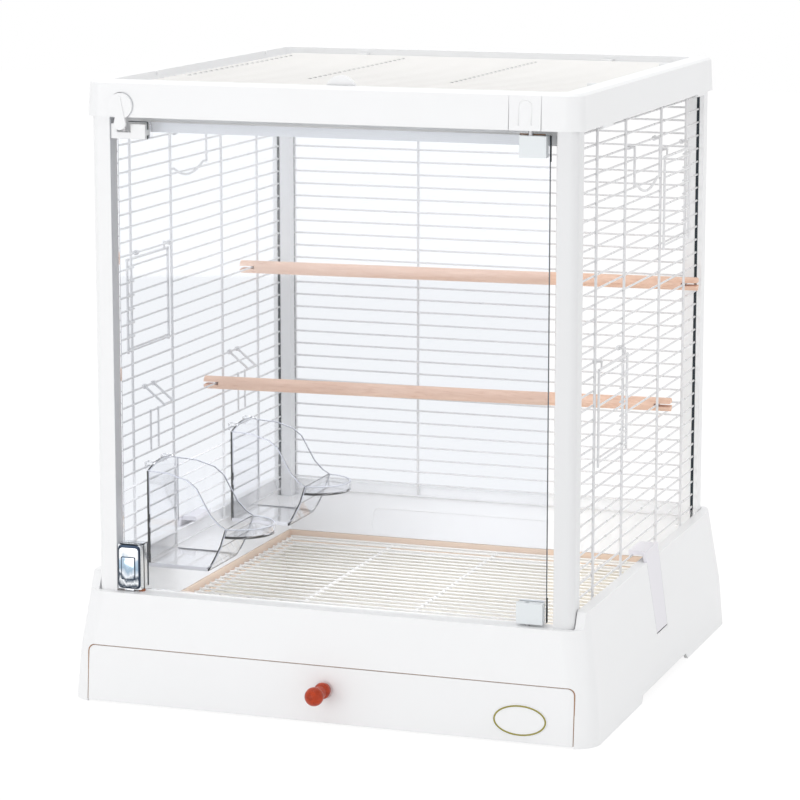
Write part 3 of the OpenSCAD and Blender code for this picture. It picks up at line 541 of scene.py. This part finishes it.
# Finish of each slot of the record, and of the nodes that have one of their own.
SLOT_FINISH = {
    finish.slot: finish
    for finish in (WHITE, TAN, CREAM, CUP, WIRE, BEECH, RED_WOOD, CHROME, STEEL, BUFFER)
}
NODE_FINISH = {
    "door_pane": PANE,
    "drawer_badge": WHITE,
    # These two posts take the white moulding darkened with painted shade.
    "post_front_right": SHADED_POST,
    "post_rear_left": SHADED_POST,
    "floor_grid": GRID,
    "roof_grid": GRID,
}
# Node, width of its rounding in millimetres, finish and body of each node whose edges are rounded.
ROUNDED = (
    ("lid_frame", 0.5, WHITE, Body.CAGE),
    ("base_shell", 0.6, WHITE, Body.CAGE),
    ("drawer_front", 0.6, WHITE, Body.DRAWER),
    # The hinge blocks take the white moulding darkened with painted shade.
    ("door_hinge_upper", 0.6, SHADED_BLOCK, Body.FRONT_DOOR),
    ("door_hinge_lower", 0.6, SHADED_BLOCK, Body.FRONT_DOOR),
    ("door_keeper", 0.5, WHITE, Body.FRONT_DOOR),
    ("lock_knob", 0.4, WHITE, Body.LOCK),
    ("roof_tab", 0.4, WHITE, Body.ROOF),
    ("side_clip_left", 0.4, LILAC, Body.LEFT_CLIP),
    ("side_clip_right", 0.4, LILAC, Body.RIGHT_CLIP),
)


# ---------------- mesh tools


def round_edges(tool: Tool, edges: list, width: float, clamp: bool = False) -> None:
    """Round edges with two segments.

    Args:
        tool: mesh that holds them.
        edges: the edges.
        width: width of the rounding in metres.
        clamp: True keeps the roundings from running into each other.
    """
    bmesh.ops.bevel(
        tool, geom=edges, offset=width, offset_type="OFFSET", segments=2, profile=0.5,
        affect="EDGES", clamp_overlap=clamp, material=-1,
    )


def sweep(tool: Tool, path: list, radius: float, sides: int) -> None:
    """Carry a round section along a path.

    Args:
        tool: mesh that takes the rod.
        path: points in metres.
        radius: radius of the rod in metres.
        sides: corners of the section.
    """
    heading = (path[1] - path[0]).normalized()
    stand = Matrix.Translation(path[0]) @ heading.to_track_quat("Z", "Y").to_matrix().to_4x4()
    made = bmesh.ops.create_circle(tool, cap_ends=True, segments=sides, radius=radius, matrix=stand)
    cap = list({face for vert in made["verts"] for face in vert.link_faces})
    for index in range(1, len(path)):
        new_heading = (path[index] - path[index - 1]).normalized()
        if index + 1 < len(path):
            new_heading = (new_heading + (path[index + 1] - path[index]).normalized()).normalized()
        out = bmesh.ops.extrude_face_region(tool, geom=cap)
        if index > 1:
            bmesh.ops.delete(tool, geom=cap, context="FACES_ONLY")
        verts = [item for item in out["geom"] if isinstance(item, bmesh.types.BMVert)]
        turn = heading.rotation_difference(new_heading).to_matrix().to_4x4()
        shift = Matrix.Translation(path[index]) @ turn @ Matrix.Translation(-path[index - 1])
        bmesh.ops.transform(tool, matrix=shift, verts=verts)
        cap = [item for item in out["geom"] if isinstance(item, bmesh.types.BMFace)]
        heading = new_heading
    bmesh.ops.recalc_face_normals(tool, faces=tool.faces)


def slab(tool: Tool, first: Vector, second: Vector, bevel: float) -> None:
    """Make a box.

    Args:
        tool: mesh that takes the box.
        first: one of its corners in metres.
        second: the opposite corner.
        bevel: width of its rounding in metres; 0 keeps it sharp.
    """
    size = [abs(length) for length in second - first]
    matrix = Matrix.Translation((first + second) / 2) @ Matrix.Diagonal((*size, 1.0))
    verts = bmesh.ops.create_cube(tool, size=1.0, matrix=matrix)["verts"]
    if bevel > 0:
        round_edges(tool, list({edge for vert in verts for edge in vert.link_edges}), bevel)


def plate(
    tool: Tool, low: tuple, high: tuple, y: float, thick: float, corner: float, bevel: float
) -> None:
    """Make an upright plate with round corners that faces the front.

    Args:
        tool: mesh that takes the plate.
        low: its lower left corner in X and Z, in the cage's millimetres.
        high: its upper right corner in X and Z.
        y: depth of its front face.
        thick: its thickness.
        corner: radius of its corners.
        bevel: width of the rounding round its front face.
    """
    left, right = low[0] + corner, high[0] - corner
    foot, top = low[1] + corner, high[1] - corner
    outline = []
    for x, z, start in ((right, top, 0), (left, top, 90), (left, foot, 180), (right, foot, 270)):
        outline += arc((x, z), corner, start, start + 90, 4)
    verts = [bmesh.ops.create_vert(tool, co=at(x, y, z))["vert"][0] for x, z in outline]
    front = bmesh.ops.contextual_create(tool, geom=verts)["faces"]
    rim = [edge for face in front for edge in face.edges]
    out = bmesh.ops.extrude_face_region(tool, geom=front)
    moved = [item for item in out["geom"] if isinstance(item, bmesh.types.BMVert)]
    bmesh.ops.translate(tool, vec=Vector((0, thick * MM, 0)), verts=moved)
    round_edges(tool, rim, bevel * MM)
    bmesh.ops.recalc_face_normals(tool, faces=tool.faces)


class Workshop:
    """Makes objects from meshes, with their finish and the body they ride on."""

    def __init__(self) -> None:
        """Build the finishes."""
        groups = Groups()
        self.materials = {finish.name: Painter(finish, groups).build() for finish in FINISHES}

    def add(
        self, name: str, tool: Tool, finish: Finish, body: Body, flat: bool = False
    ) -> bpy.types.Object:
        """Turn a bmesh into a piece.

        Args:
            name: name of the piece.
            tool: its mesh, which is freed.
            finish: its finish.
            body: the body it rides on.
            flat: True keeps the faces flat shaded.

        Returns:
            The new object.
        """
        for face in tool.faces:
            face.smooth = not flat
        mesh = bpy.data.meshes.new(name)
        tool.to_mesh(mesh)
        tool.free()
        piece = bpy.data.objects.new(name, mesh)
        bpy.context.scene.collection.objects.link(piece)
        mesh.materials.append(self.materials[finish.name])
        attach(piece, body.value)
        LOG.info("piece %s: %d faces, %s on %s", name, len(mesh.polygons), finish.name, body.value)
        return piece

    def rods(self, name: str, runs: list, finish: Finish, body: Body, sides: int = 6) -> None:
        """Make a piece of round rods.

        Args:
            name: name of the piece.
            runs: radius and points of each rod, in the cage's millimetres.
            finish: its finish.
            body: the body it rides on.
            sides: corners of the rods' section.
        """
        tool = bmesh.new()
        for radius, points in runs:
            sweep(tool, [at(*point) for point in points], radius * MM, sides)
        self.add(name, tool, finish, body)

    def boxes(self, name: str, pairs: list, bevel: float, finish: Finish, body: Body) -> None:
        """Make a piece of boxes.

        Args:
            name: name of the piece.
            pairs: two opposite corners of each box, in the cage's millimetres.
            bevel: width of their rounding in millimetres; 0 keeps them sharp and flat shaded.
            finish: its finish.
            body: the body it rides on.
        """
        tool = bmesh.new()
        for first, second in pairs:
            slab(tool, at(*first), at(*second), bevel * MM)
        self.add(name, tool, finish, body, flat=bevel == 0)

    def soften(self, node: str, width: float, finish: Finish, body: Body) -> None:
        """Stand a copy of a CAD node with rounded edges in its place.

        Args:
            node: name of the node.
            width: width of the rounding in metres.
            finish: its finish.
            body: the body it rides on.
        """
        tool = bmesh.new()
        tool.from_mesh(frame["nodes"][node].data)
        bmesh.ops.remove_doubles(tool, verts=tool.verts, dist=SAME_POINT)
        bmesh.ops.dissolve_limit(tool, angle_limit=FLAT, verts=tool.verts, edges=tool.edges)
        edges = [e for e in tool.edges if len(e.link_faces) == 2 and e.calc_face_angle(0.0) > SHARP]
        round_edges(tool, edges, width, clamp=True)
        piece = self.add(node + "_rounded", tool, finish, body)
        flatten = piece.modifiers.new("even_faces", "WEIGHTED_NORMAL")
        flatten.keep_sharp = True
        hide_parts(node)

    def dress_nodes(self) -> None:
        """Give every CAD node the finish of its slot, or its own."""
        for part in frame["record"]["subparts"]:
            finish = NODE_FINISH.get(part["node"], SLOT_FINISH[part["material_slot"]])
            node = frame["nodes"][part["node"]]
            for slot in node.material_slots:
                slot.material = self.materials[finish.name]
            LOG.info("node %s: %s", part["node"], finish.name)


# ---------------- sub-assemblies, in the cage's millimetres


@dataclass
class Lid:
    """Fine parts of the lid: hinge cover's arch, lock's shadow line, rim ribs and teeth."""

    shop: Workshop
    face_y: float = -219.0
    low: float = 503.0
    top: float = 533.0
    arch_x: float = 169.2
    arch_half: float = 5.4
    arch_foot: float = 507.0
    arch_top: float = 527.5
    arch_r: float = 0.5
    lock_x: float = -182.4
    lock_z: float = 512.5
    lock_r: float = 11.0
    rib_places: tuple = ((-201, -110), (-201, 142), (193, -106), (193, 124))
    rib_half: tuple = (5, 1.2)
    tooth_places: tuple = (-141, 172)
    tooth_half: float = 15.0
    tooth_inner: float = 213.4
    tooth_outer: float = 216.6

    def hinge_arch(self) -> None:
        """Raised arch on the front face over the door's upper pin."""
        foot_y, crown_y = self.face_y + 0.1, self.face_y + 1.1
        crown = arc((self.arch_x, self.arch_top - self.arch_half), self.arch_half, 180, 0, 8)
        path = [(self.arch_x - self.arch_half, foot_y, self.arch_foot)]
        path += [(x, crown_y, z) for x, z in crown]
        path += [(self.arch_x + self.arch_half, foot_y, self.arch_foot)]
        self.shop.rods("lid_hinge_arch", [(self.arch_r, path)], WHITE, Body.CAGE, sides=8)

    def lock_line(self) -> None:
        """Shadow line round the lock's recess, on its right side."""
        bend = arc((self.lock_x, self.lock_z), self.lock_r, 88, -52, 14)
        path = [(x, self.face_y + 0.5, z) for x, z in bend]
        self.shop.rods("lid_lock_line", [(0.4, path)], GREY_SHADE, Body.CAGE)

    def rim_ribs(self) -> None:
        """Four low ribs between the rim and the recess, near its corners."""
        half_x, half_y = self.rib_half
        low, high = self.top - 3.4, self.top - 0.05
        ribs = [
            ((x - half_x, y - half_y, low), (x + half_x, y + half_y, high))
            for x, y in self.rib_places
        ]
        self.shop.boxes("lid_rim_ribs", ribs, 0.4, WHITE, Body.CAGE)

    def edge_teeth(self) -> None:
        """Short teeth under the lid's side edges that grip the wire walls."""
        teeth = []
        for side in (-1, 1):
            for y in self.tooth_places:
                outer = (side * self.tooth_outer, y - self.tooth_half, self.low - 2.6)
                teeth.append((outer, (side * self.tooth_inner, y + self.tooth_half, self.low + 1)))
        self.shop.boxes("lid_edge_teeth", teeth, 0.5, WHITE, Body.CAGE)

    def build(self) -> None:
        """Make every fine part of the lid."""
        self.hinge_arch()
        self.lock_line()
        self.rim_ribs()
        self.edge_teeth()


@dataclass
class Roof:
    """Shaded stretches of the roof's rods, seen between its wires."""

    shop: Workshop
    rods: tuple = (-176.0, -64.0, 64.0)
    z: float = 527.1
    pitch: float = 12.0
    first_gap: int = -8
    last_gap: int = 12
    clear_of_wire: float = 2.4
    sleeve_r: float = 1.56

    def build(self) -> None:
        """Make a dark sleeve on each rod in every gap between two wires."""
        sleeves = []
        for x in self.rods:
            for gap in range(self.first_gap, self.last_gap + 1):
                start = gap * self.pitch + self.clear_of_wire
                end = (gap + 1) * self.pitch - self.clear_of_wire
                sleeves.append((self.sleeve_r, [(x, start, self.z), (x, end, self.z)]))
        self.shop.rods("roof_rod_shade", sleeves, ROD_SHADE, Body.ROOF, sides=8)


@dataclass
class Posts:
    """Painted shade in the slots that hold the wire walls, and on a front post's inner face."""

    shop: Workshop
    wall_x: float = 206.5
    wall_y: float = 208.5
    in_x: float = 195.0
    in_y: float = 196.0
    half: float = 1.39
    near: float = 0.4
    far: float = 1.2
    low: float = 110.5
    high: float = 502.5
    face_front: float = -213.4
    face_back: float = -196.6

    def slot_painted_shade(self) -> None:
        """Thin dark strips of painted shade just inside the mouths of the rear posts' slots."""
        near_y, far_y = self.in_y + self.near, self.in_y + self.far
        low_y, high_y = self.wall_y - self.half, self.wall_y + self.half
        strips = []
        for side in (-1, 1):
            x = side * self.wall_x
            near_x, far_x = side * (self.in_x + self.near), side * (self.in_x + self.far)
            strips.append(((x - self.half, near_y, self.low), (x + self.half, far_y, self.high)))
            strips.append(((near_x, low_y, self.low), (far_x, high_y, self.high)))
        self.shop.boxes("post_slot_painted_shade", strips, 0, SHADE, Body.CAGE)

    def inner_face(self) -> None:
        """Strip of painted shade on the inner face of the left front post."""
        first = (-self.in_x + 0.02, self.face_front, DOOR_LOW)
        second = (-self.in_x + 0.25, self.face_back, self.high)
        self.shop.boxes("post_inner_painted_shade", [(first, second)], 0, GREY_SHADE, Body.CAGE)

    def build(self) -> None:
        """Make the posts' fine parts."""
        self.slot_painted_shade()
        self.inner_face()


@dataclass
class Skirt:
    """Pale strips at the foot of the windows that the side clips stand in."""

    shop: Workshop
    outer_x: float = 231.4
    inner_x: float = 230.9
    half: float = 16.8
    low: float = 44.7
    high: float = 45.9

    def build(self) -> None:
        """Make a strip on each side."""
        strips = []
        for side in (-1, 1):
            inner, outer = side * self.inner_x, side * self.outer_x
            strips.append(((inner, -self.half, self.low), (outer, self.half, self.high)))
        self.shop.boxes("clip_window_strips", strips, 0, WHITE, Body.CAGE)


@dataclass
class Drawer:
    """Fine parts of the drawer: the badge's ring and the lip behind the front's edge, darkened with
    painted shade.
    """

    shop: Workshop
    face_foot: float = 230.0
    kink_z: float = 45.0
    kink_in: float = 3.0
    top_rise: float = 65.0
    top_in: float = 7.5
    half_w: float = 217.8
    open_h: float = 50.0
    gap: float = 0.8
    lip_low: float = 2.0
    lip_in: float = 1.6
    lip_r: float = 0.62
    corner_r: float = 6.0
    corner_turns: tuple = (0.4, 0.8, 1.2)
    badge_x: float = 171.8
    badge_z: float = 20.0
    badge_w: float = 46.5
    badge_h: float = 26.5
    ring_in: float = 1.2
    ring_out: float = 0.95
    ring_r: float = 0.75
    ring_steps: int = 48

    def face_y(self, z: float) -> float:
        """Depth at a height of the skirt's front face, which leans in, and more above its kink."""
        if z <= self.kink_z:
            return -(self.face_foot - self.kink_in * z / self.kink_z)
        return -(self.face_foot - self.kink_in - self.top_in * (z - self.kink_z) / self.top_rise)

    def lip(self) -> None:
        """Lip that shows in the gap round the drawer front: the tray's tan flange, painted brown
        with the gap's shade.
        """
        x = self.half_w - self.gap / 2
        top = self.open_h - self.gap / 2
        corner = self.corner_r - self.gap / 2
        inner, foot = x - corner, top - corner
        turns = [(corner * math.sin(a), corner * math.cos(a)) for a in self.corner_turns]
        points = [(-x, self.lip_low), (-x, foot)]
        points += [(-inner - cosine, foot + sine) for sine, cosine in turns]
        points += [(-inner, top), (inner, top)]
        points += [(inner + sine, foot + cosine) for sine, cosine in turns]
        points += [(x, foot), (x, self.lip_low)]
        path = [(px, self.face_y(pz) + self.lip_in, pz) for px, pz in points]
        self.shop.rods("lip_and_gap_shade", [(self.lip_r, path)], GAP_SHADE, Body.DRAWER)

    def badge_ring(self) -> None:
        """Plain oval ring round the bare badge."""
        half_w, half_h = self.badge_w / 2 - self.ring_in, self.badge_h / 2 - self.ring_in
        path = []
        for step in range(self.ring_steps + 1):
            angle = math.tau * step / self.ring_steps
            x = self.badge_x + half_w * math.cos(angle)
            z = self.badge_z + half_h * math.sin(angle)
            path.append((x, self.face_y(z) - self.ring_out, z))
        self.shop.rods("badge_ring", [(self.ring_r, path)], OLIVE, Body.DRAWER)

    def build(self) -> None:
        """Make the drawer's fine parts."""
        self.lip()
        self.badge_ring()


@dataclass(frozen=True)
class LatchLayer:
    """One plate of the latch's face.

    low and high tell how far it is set in from the face's lower left and upper right corner, and
    proud how far it stands in front of the box.
    """

    name: str
    finish: Finish
    low: tuple
    high: tuple
    proud: float
    thick: float
    corner: float
    bevel: float


# The dark layers are painted shade round the edges; the plated layers carry painted reflections.
LATCH_LAYERS = (
    LatchLayer("latch_outline_shade", SHADE_PLATE, (0.0, 0.0), (0.0, 0.0), 0.6, 0.7, 3.6, 0.25),
    LatchLayer("latch_face_reflection_plate", REFLECTION_PLATED, (1.1, 0.9), (1.6, 2.2), 1.4, 1.2, 3.0, 0.5),
    LatchLayer("latch_thumb_frame_shade", SHADE_PLATE, (3.2, 8.0), (4.2, 10.0), 1.8, 0.8, 1.2, 0.2),
    LatchLayer("latch_thumb_reflection_plate", REFLECTION_PLATED, (4.0, 8.8), (5.0, 10.8), 2.1, 0.8, 0.8, 0.2),
)


@dataclass
class FrontDoor:
    """Fine parts of the clear front door: its edges, the keeper's lines and the latch's face."""

    shop: Workshop
    left: float = -193.8
    right: float = 187.0
    low: float = DOOR_LOW
    high: float = 498.7
    front_y: float = -208.0
    hinge_h: float = 17.5
    hinge_w: float = 26.0
    edge_off: float = 0.02
    keeper_right: float = -162.8
    keeper_low: float = 484.5
    keeper_out: float = 5.6
    latch_right: float = -172.8
    latch_top: float = LATCH_TOP
    latch_out: float = 6.0
    latch_deep: float = 16.0
    foot_left: float = -188.5
    foot_right: float = -179.5
    foot_h: float = 1.6

    def edge_strip(self) -> None:
        """Painted shade on the pane's polished edge on its hinged side: dark by the hinges, greyer
        between them.
        """
        x = self.right + self.edge_off
        middle = (
            (x, self.front_y + 0.6, self.low + self.hinge_h),
            (self.right + 0.5, self.front_y + 2.0, self.high - self.hinge_h),
        )
        self.shop.boxes("pane_edge_middle", [middle], 0.1, PANE_EDGE_SHADE, Body.FRONT_DOOR)
        out_x, back_y = self.right + 0.9, self.front_y + 2.6
        ends = [
            ((x, self.front_y, z + 0.4), (out_x, back_y, z + self.hinge_h + 3.6))
            for z in (self.low, self.high - self.hinge_h - 4)
        ]
        self.shop.boxes("pane_edge_ends", ends, 0.2, SHADE, Body.FRONT_DOOR)

    def top_line(self) -> None:
        """Painted shade in the gap over the pane's top edge: pale along it, brown over the hinge.
        """
        y, z = self.front_y + 1.2, self.high + 0.4
        pale = [(self.keeper_right + 3, y, z), (self.right - self.hinge_w, y, z)]
        self.shop.rods("pane_top_painted_shade", [(0.5, pale)], PALE_SHADE, Body.FRONT_DOOR)
        brown = [(self.right - self.hinge_w + 0.5, y, z), (self.right - 4, y, z)]
        self.shop.rods("pane_top_corner_shade", [(0.6, brown)], GAP_SHADE, Body.FRONT_DOOR)

    def keeper_lines(self) -> None:
        """Painted shade as dark lines in the gaps round the corner piece."""
        y = self.front_y - self.keeper_out
        x, low, top = self.keeper_right, self.keeper_low, self.high + 0.2
        side = [(self.left - 0.4, y, low), (self.left - 0.4, y, self.high + 0.6)]
        self.shop.rods("keeper_side_shade", [(0.35, side)], GREY_SHADE, Body.FRONT_DOOR)
        gaps = [
            (0.4, [(x - 16, y + 2, top), (x + 1.2, y + 2, top)]),
            (0.45, [(x + 1.0, y + 3, low + 8), (x + 1.0, y + 3, top)]),
            (0.4, [(x + 0.8, y + 3, low), (x + 0.8, y + 3, low + 3)]),
        ]
        self.shop.rods("keeper_gap_shade", gaps, SHADE, Body.FRONT_DOOR)

    def latch_face(self) -> None:
        """Face of the latch: painted shade as its outline and the thumb plate's frame, and bright
        plates with painted reflections.
        """
        left, foot = self.left + 0.2, self.low + 0.6
        right, top = self.latch_right - 0.2, self.latch_top - 0.4
        for layer in LATCH_LAYERS:
            low = (left + layer.low[0], foot + layer.low[1])
            high = (right - layer.high[0], top - layer.high[1])
            y = self.front_y - self.latch_out - layer.proud
            tool = bmesh.new()
            plate(tool, low, high, y, layer.thick, layer.corner, layer.bevel)
            self.shop.add(layer.name, tool, layer.finish, Body.FRONT_DOOR)

    def latch_sides(self) -> None:
        """Painted shade on the top and rear edges of the latch box, and its foot between the
        buffers.
        """
        face = self.front_y - self.latch_out
        rear = face + self.latch_deep
        top, right = self.latch_top + 0.1, self.latch_right + 0.1
        bend = right - 2.5
        edges = [
            (0.7, [(self.left + 2, face + 0.3, top), (bend, face + 0.3, top)]),
            (0.5, [(bend, face + 0.5, top), (right, face + 4, top), (right, rear, top)]),
            (0.6, [(right, rear + 0.4, top), (right, rear + 0.4, self.low + 1)]),
        ]
        self.shop.rods("latch_box_edge_shade", edges, SHADE, Body.FRONT_DOOR)
        low = (self.foot_left, face + 0.4, self.low - self.foot_h)
        high = (self.foot_right, face + 5, self.low)
        self.shop.boxes("latch_foot", [(low, high)], 0.3, CHROME, Body.FRONT_DOOR)

    def build(self) -> None:
        """Make the door's fine parts."""
        self.edge_strip()
        self.top_line()
        self.keeper_lines()
        self.latch_face()
        self.latch_sides()


@dataclass
class SeedCup:
    """Painted shade along the edges of one clear cup: its cheeks, its back plate and its dish."""

    shop: Workshop
    name: str
    mid: float
    body: Body
    back: float = -203.0
    row: float = 186.0
    half: float = 32.0
    reach: float = 75.0
    dish_r: float = 31.0
    dish_drop: float = 50.0
    line_r: float = 0.5
    back_line_r: float = 0.45
    crown_r: float = 80.0
    crown_drop: float = 76.0
    dash_pitch: float = 12.0
    dash_length: float = 7.0

    def cheek_lines(self) -> None:
        """Line of painted shade round each cheek, from the foot's corner over the lip to the back.
        """
        profile = (
            (56, -86), (62, -81.5), (70, -66), (75, -50), (68, -46), (60, -38), (53, -26),
            (47, -15), (38, -8), (20, -3), (1, -2),
        )
        lines = []
        for side in (-1, 1):
            y = self.mid + side * (self.half + 0.05)
            lines.append((self.line_r, [(self.back + x, y, self.row + z) for x, z in profile]))
        self.shop.rods(self.name + "_cheek_lines", lines, CUP_EDGE_SHADE, self.body)

    def foot_strips(self) -> None:
        """Pale strip of painted edge shade along the foot of each cheek."""
        strips = []
        for side in (-1, 1):
            inner, outer = self.mid + side * self.half, self.mid + side * (self.half + 0.45)
            first = (self.back + 1, inner, self.row - 88.2)
            strips.append((first, (self.back + 57, outer, self.row - 84.6)))
        self.shop.boxes(self.name + "_foot_strips", strips, 0.1, CUP_FOOT_SHADE, self.body)

    def back_lines(self) -> None:
        """Line of painted shade round the back plate's sides and rounded top, and dashes of painted
        shade on its near edge.
        """
        across = range(-32, 33, 8)
        crown = [(y, math.sqrt(self.crown_r**2 - y * y) - self.crown_drop) for y in across]
        points = [(-self.half, -60), *crown, (self.half, -60)]
        path = [(self.back + 2.2, self.mid + y, self.row + z) for y, z in points]
        self.shop.rods(self.name + "_back_lines", [(self.back_line_r, path)], CUP_EDGE_SHADE, self.body)
        x, y = self.back + 2.4, self.mid - self.half - 0.3
        starts = [self.row - 84 + self.dash_pitch * count for count in range(4)]
        dashes = [(self.line_r, [(x, y, z), (x, y, z + self.dash_length)]) for z in starts]
        self.shop.rods(self.name + "_edge_dashes", dashes, SHADE, self.body)

    def dish_line(self) -> None:
        """Line of painted shade round the dish's rim."""
        rim = arc((self.back + self.reach, self.mid), self.dish_r - 0.6, -90, 90, 16)
        path = [(x, y, self.row - self.dish_drop + 0.1) for x, y in rim]
        self.shop.rods(self.name + "_dish_line", [(self.line_r, path)], CUP_EDGE_SHADE, self.body)

    def build(self) -> None:
        """Make the cup's lines."""
        self.cheek_lines()
        self.foot_strips()
        self.back_lines()
        self.dish_line()


# ---------------- studio


@dataclass(frozen=True)
class Lamp:
    """A soft square lamp: its place, the point it faces, its side in metres and its watts.

    A lamp that is not seen is hidden from the camera, in reflections and through clear plastic.
    """

    name: str
    place: Vector
    aim: Vector
    size: float
    power: float
    seen: bool = True

    def hang(self) -> None:
        """Put the lamp in the scene."""
        data = bpy.data.lights.new(self.name, "AREA")
        data.size = self.size
        data.energy = self.power
        lamp = bpy.data.objects.new(self.name, data)
        lamp.location = self.place
        lamp.rotation_mode = "QUATERNION"
        lamp.rotation_quaternion = (self.aim - self.place).to_track_quat("-Z", "Y")
        lamp.visible_camera = lamp.visible_glossy = lamp.visible_transmission = self.seen
        bpy.context.scene.collection.objects.link(lamp)


MIDDLE = Vector((0, 0, 0.25))
LAMPS = (
    Lamp("front_lamp", Vector((-0.9, -2.6, 0.5)), MIDDLE, size=1.5, power=13.0),
    Lamp("top_lamp", Vector((-0.2, 0.2, 2.4)), MIDDLE, size=1.8, power=18.0),
    Lamp("right_lamp", Vector((2.6, -0.7, 0.5)), MIDDLE, size=1.6, power=5.5),
    Lamp("inside_lamp", at(-45, -25, 190), at(-40, -25, 0), size=0.32, power=0.4, seen=False),
)


@dataclass
class Studio:
    """Camera, surroundings, floor and lamps; the camera's place is in degrees and millimetres."""

    azimuth: float = 19.476
    elevation: float = 10.43
    focal_px: float = 3161.8
    picture_px: float = 800.0
    sensor: float = 36.0
    distance: float = 2822.3
    side: float = -12.65
    height: float = 236.86
    world_light: float = 0.79
    floor_half: float = 6.0
    floor_tone: float = 0.92
    floor_glow: float = 1.06
    glow_share: float = 0.86

    def camera(self) -> None:
        """Camera at the photograph's angle, with no shift."""
        azimuth, elevation = math.radians(self.azimuth), math.radians(self.elevation)
        level = math.cos(elevation)
        back = Vector((math.sin(azimuth) * level, -math.cos(azimuth) * level, math.sin(elevation)))
        right = Vector((math.cos(azimuth), math.sin(azimuth), 0.0))
        data = bpy.data.cameras.new("photo_camera")
        data.lens = self.sensor * self.focal_px / self.picture_px
        data.sensor_width = self.sensor
        data.clip_end = 50.0
        camera = bpy.data.objects.new("photo_camera", data)
        camera.location = at(0, 0, self.height) + (back * self.distance + right * self.side) * MM
        camera.rotation_mode = "QUATERNION"
        camera.rotation_quaternion = (-back).to_track_quat("-Z", "Y")
        bpy.context.scene.collection.objects.link(camera)
        bpy.context.scene.camera = camera

    def world(self) -> None:
        """Even white surroundings: full white to the eye and in reflections, plainer as a light."""
        world = bpy.data.worlds.new("white_room")
        world.use_nodes = True
        tree = world.node_tree
        background = tree.nodes["Background"]
        extra = math_node(tree, "MULTIPLY", seen_directly(tree), 1.0 - self.world_light)
        strength = math_node(tree, "ADD", extra, self.world_light)
        tree.links.new(strength, background.inputs["Strength"])
        background.inputs["Color"].default_value = (1.0, 1.0, 1.0, 1.0)
        bpy.context.scene.world = world

    def floor(self) -> None:
        """White floor that keeps a soft shadow."""
        tool = bmesh.new()
        bmesh.ops.create_grid(tool, x_segments=1, y_segments=1, size=self.floor_half)
        mesh = bpy.data.meshes.new("floor")
        tool.to_mesh(mesh)
        tool.free()
        floor = bpy.data.objects.new("floor", mesh)
        bpy.context.scene.collection.objects.link(floor)
        material = bpy.data.materials.new("floor_white")
        material.use_nodes = True
        tree = material.node_tree
        shader = tree.nodes["Principled BSDF"]
        shader.inputs["Base Color"].default_value = (*[self.floor_tone] * 3, 1.0)
        shader.inputs["Roughness"].default_value = 0.8
        glow = tree.nodes.new("ShaderNodeEmission")
        glow.inputs["Strength"].default_value = self.floor_glow
        mix = tree.nodes.new("ShaderNodeMixShader")
        share = math_node(tree, "MULTIPLY", seen_directly(tree), self.glow_share)
        tree.links.new(share, mix.inputs["Fac"])
        tree.links.new(shader.outputs[0], mix.inputs[1])
        tree.links.new(glow.outputs[0], mix.inputs[2])
        tree.links.new(mix.outputs[0], tree.nodes["Material Output"].inputs["Surface"])
        mesh.materials.append(material)

    def build(self) -> None:
        """Set up the studio."""
        self.camera()
        self.world()
        self.floor()
        for lamp in LAMPS:
            lamp.hang()
        bpy.context.scene.view_settings.view_transform = "Standard"


def main() -> None:
    """Build the scene piece by piece."""
    logging.basicConfig(level=logging.INFO, format="%(message)s")
    shop = Workshop()
    Studio().build()
    shop.dress_nodes()
    for node, width, finish, body in ROUNDED:
        shop.soften(node, width * MM, finish, body)
    for maker in (Lid, Roof, Posts, Skirt, Drawer, FrontDoor):
        maker(shop).build()
    SeedCup(shop, "front_cup", -98.0, Body.FRONT_CUP).build()
    SeedCup(shop, "rear_cup", 94.0, Body.REAR_CUP).build()


if __name__ == "__main__":
    main()
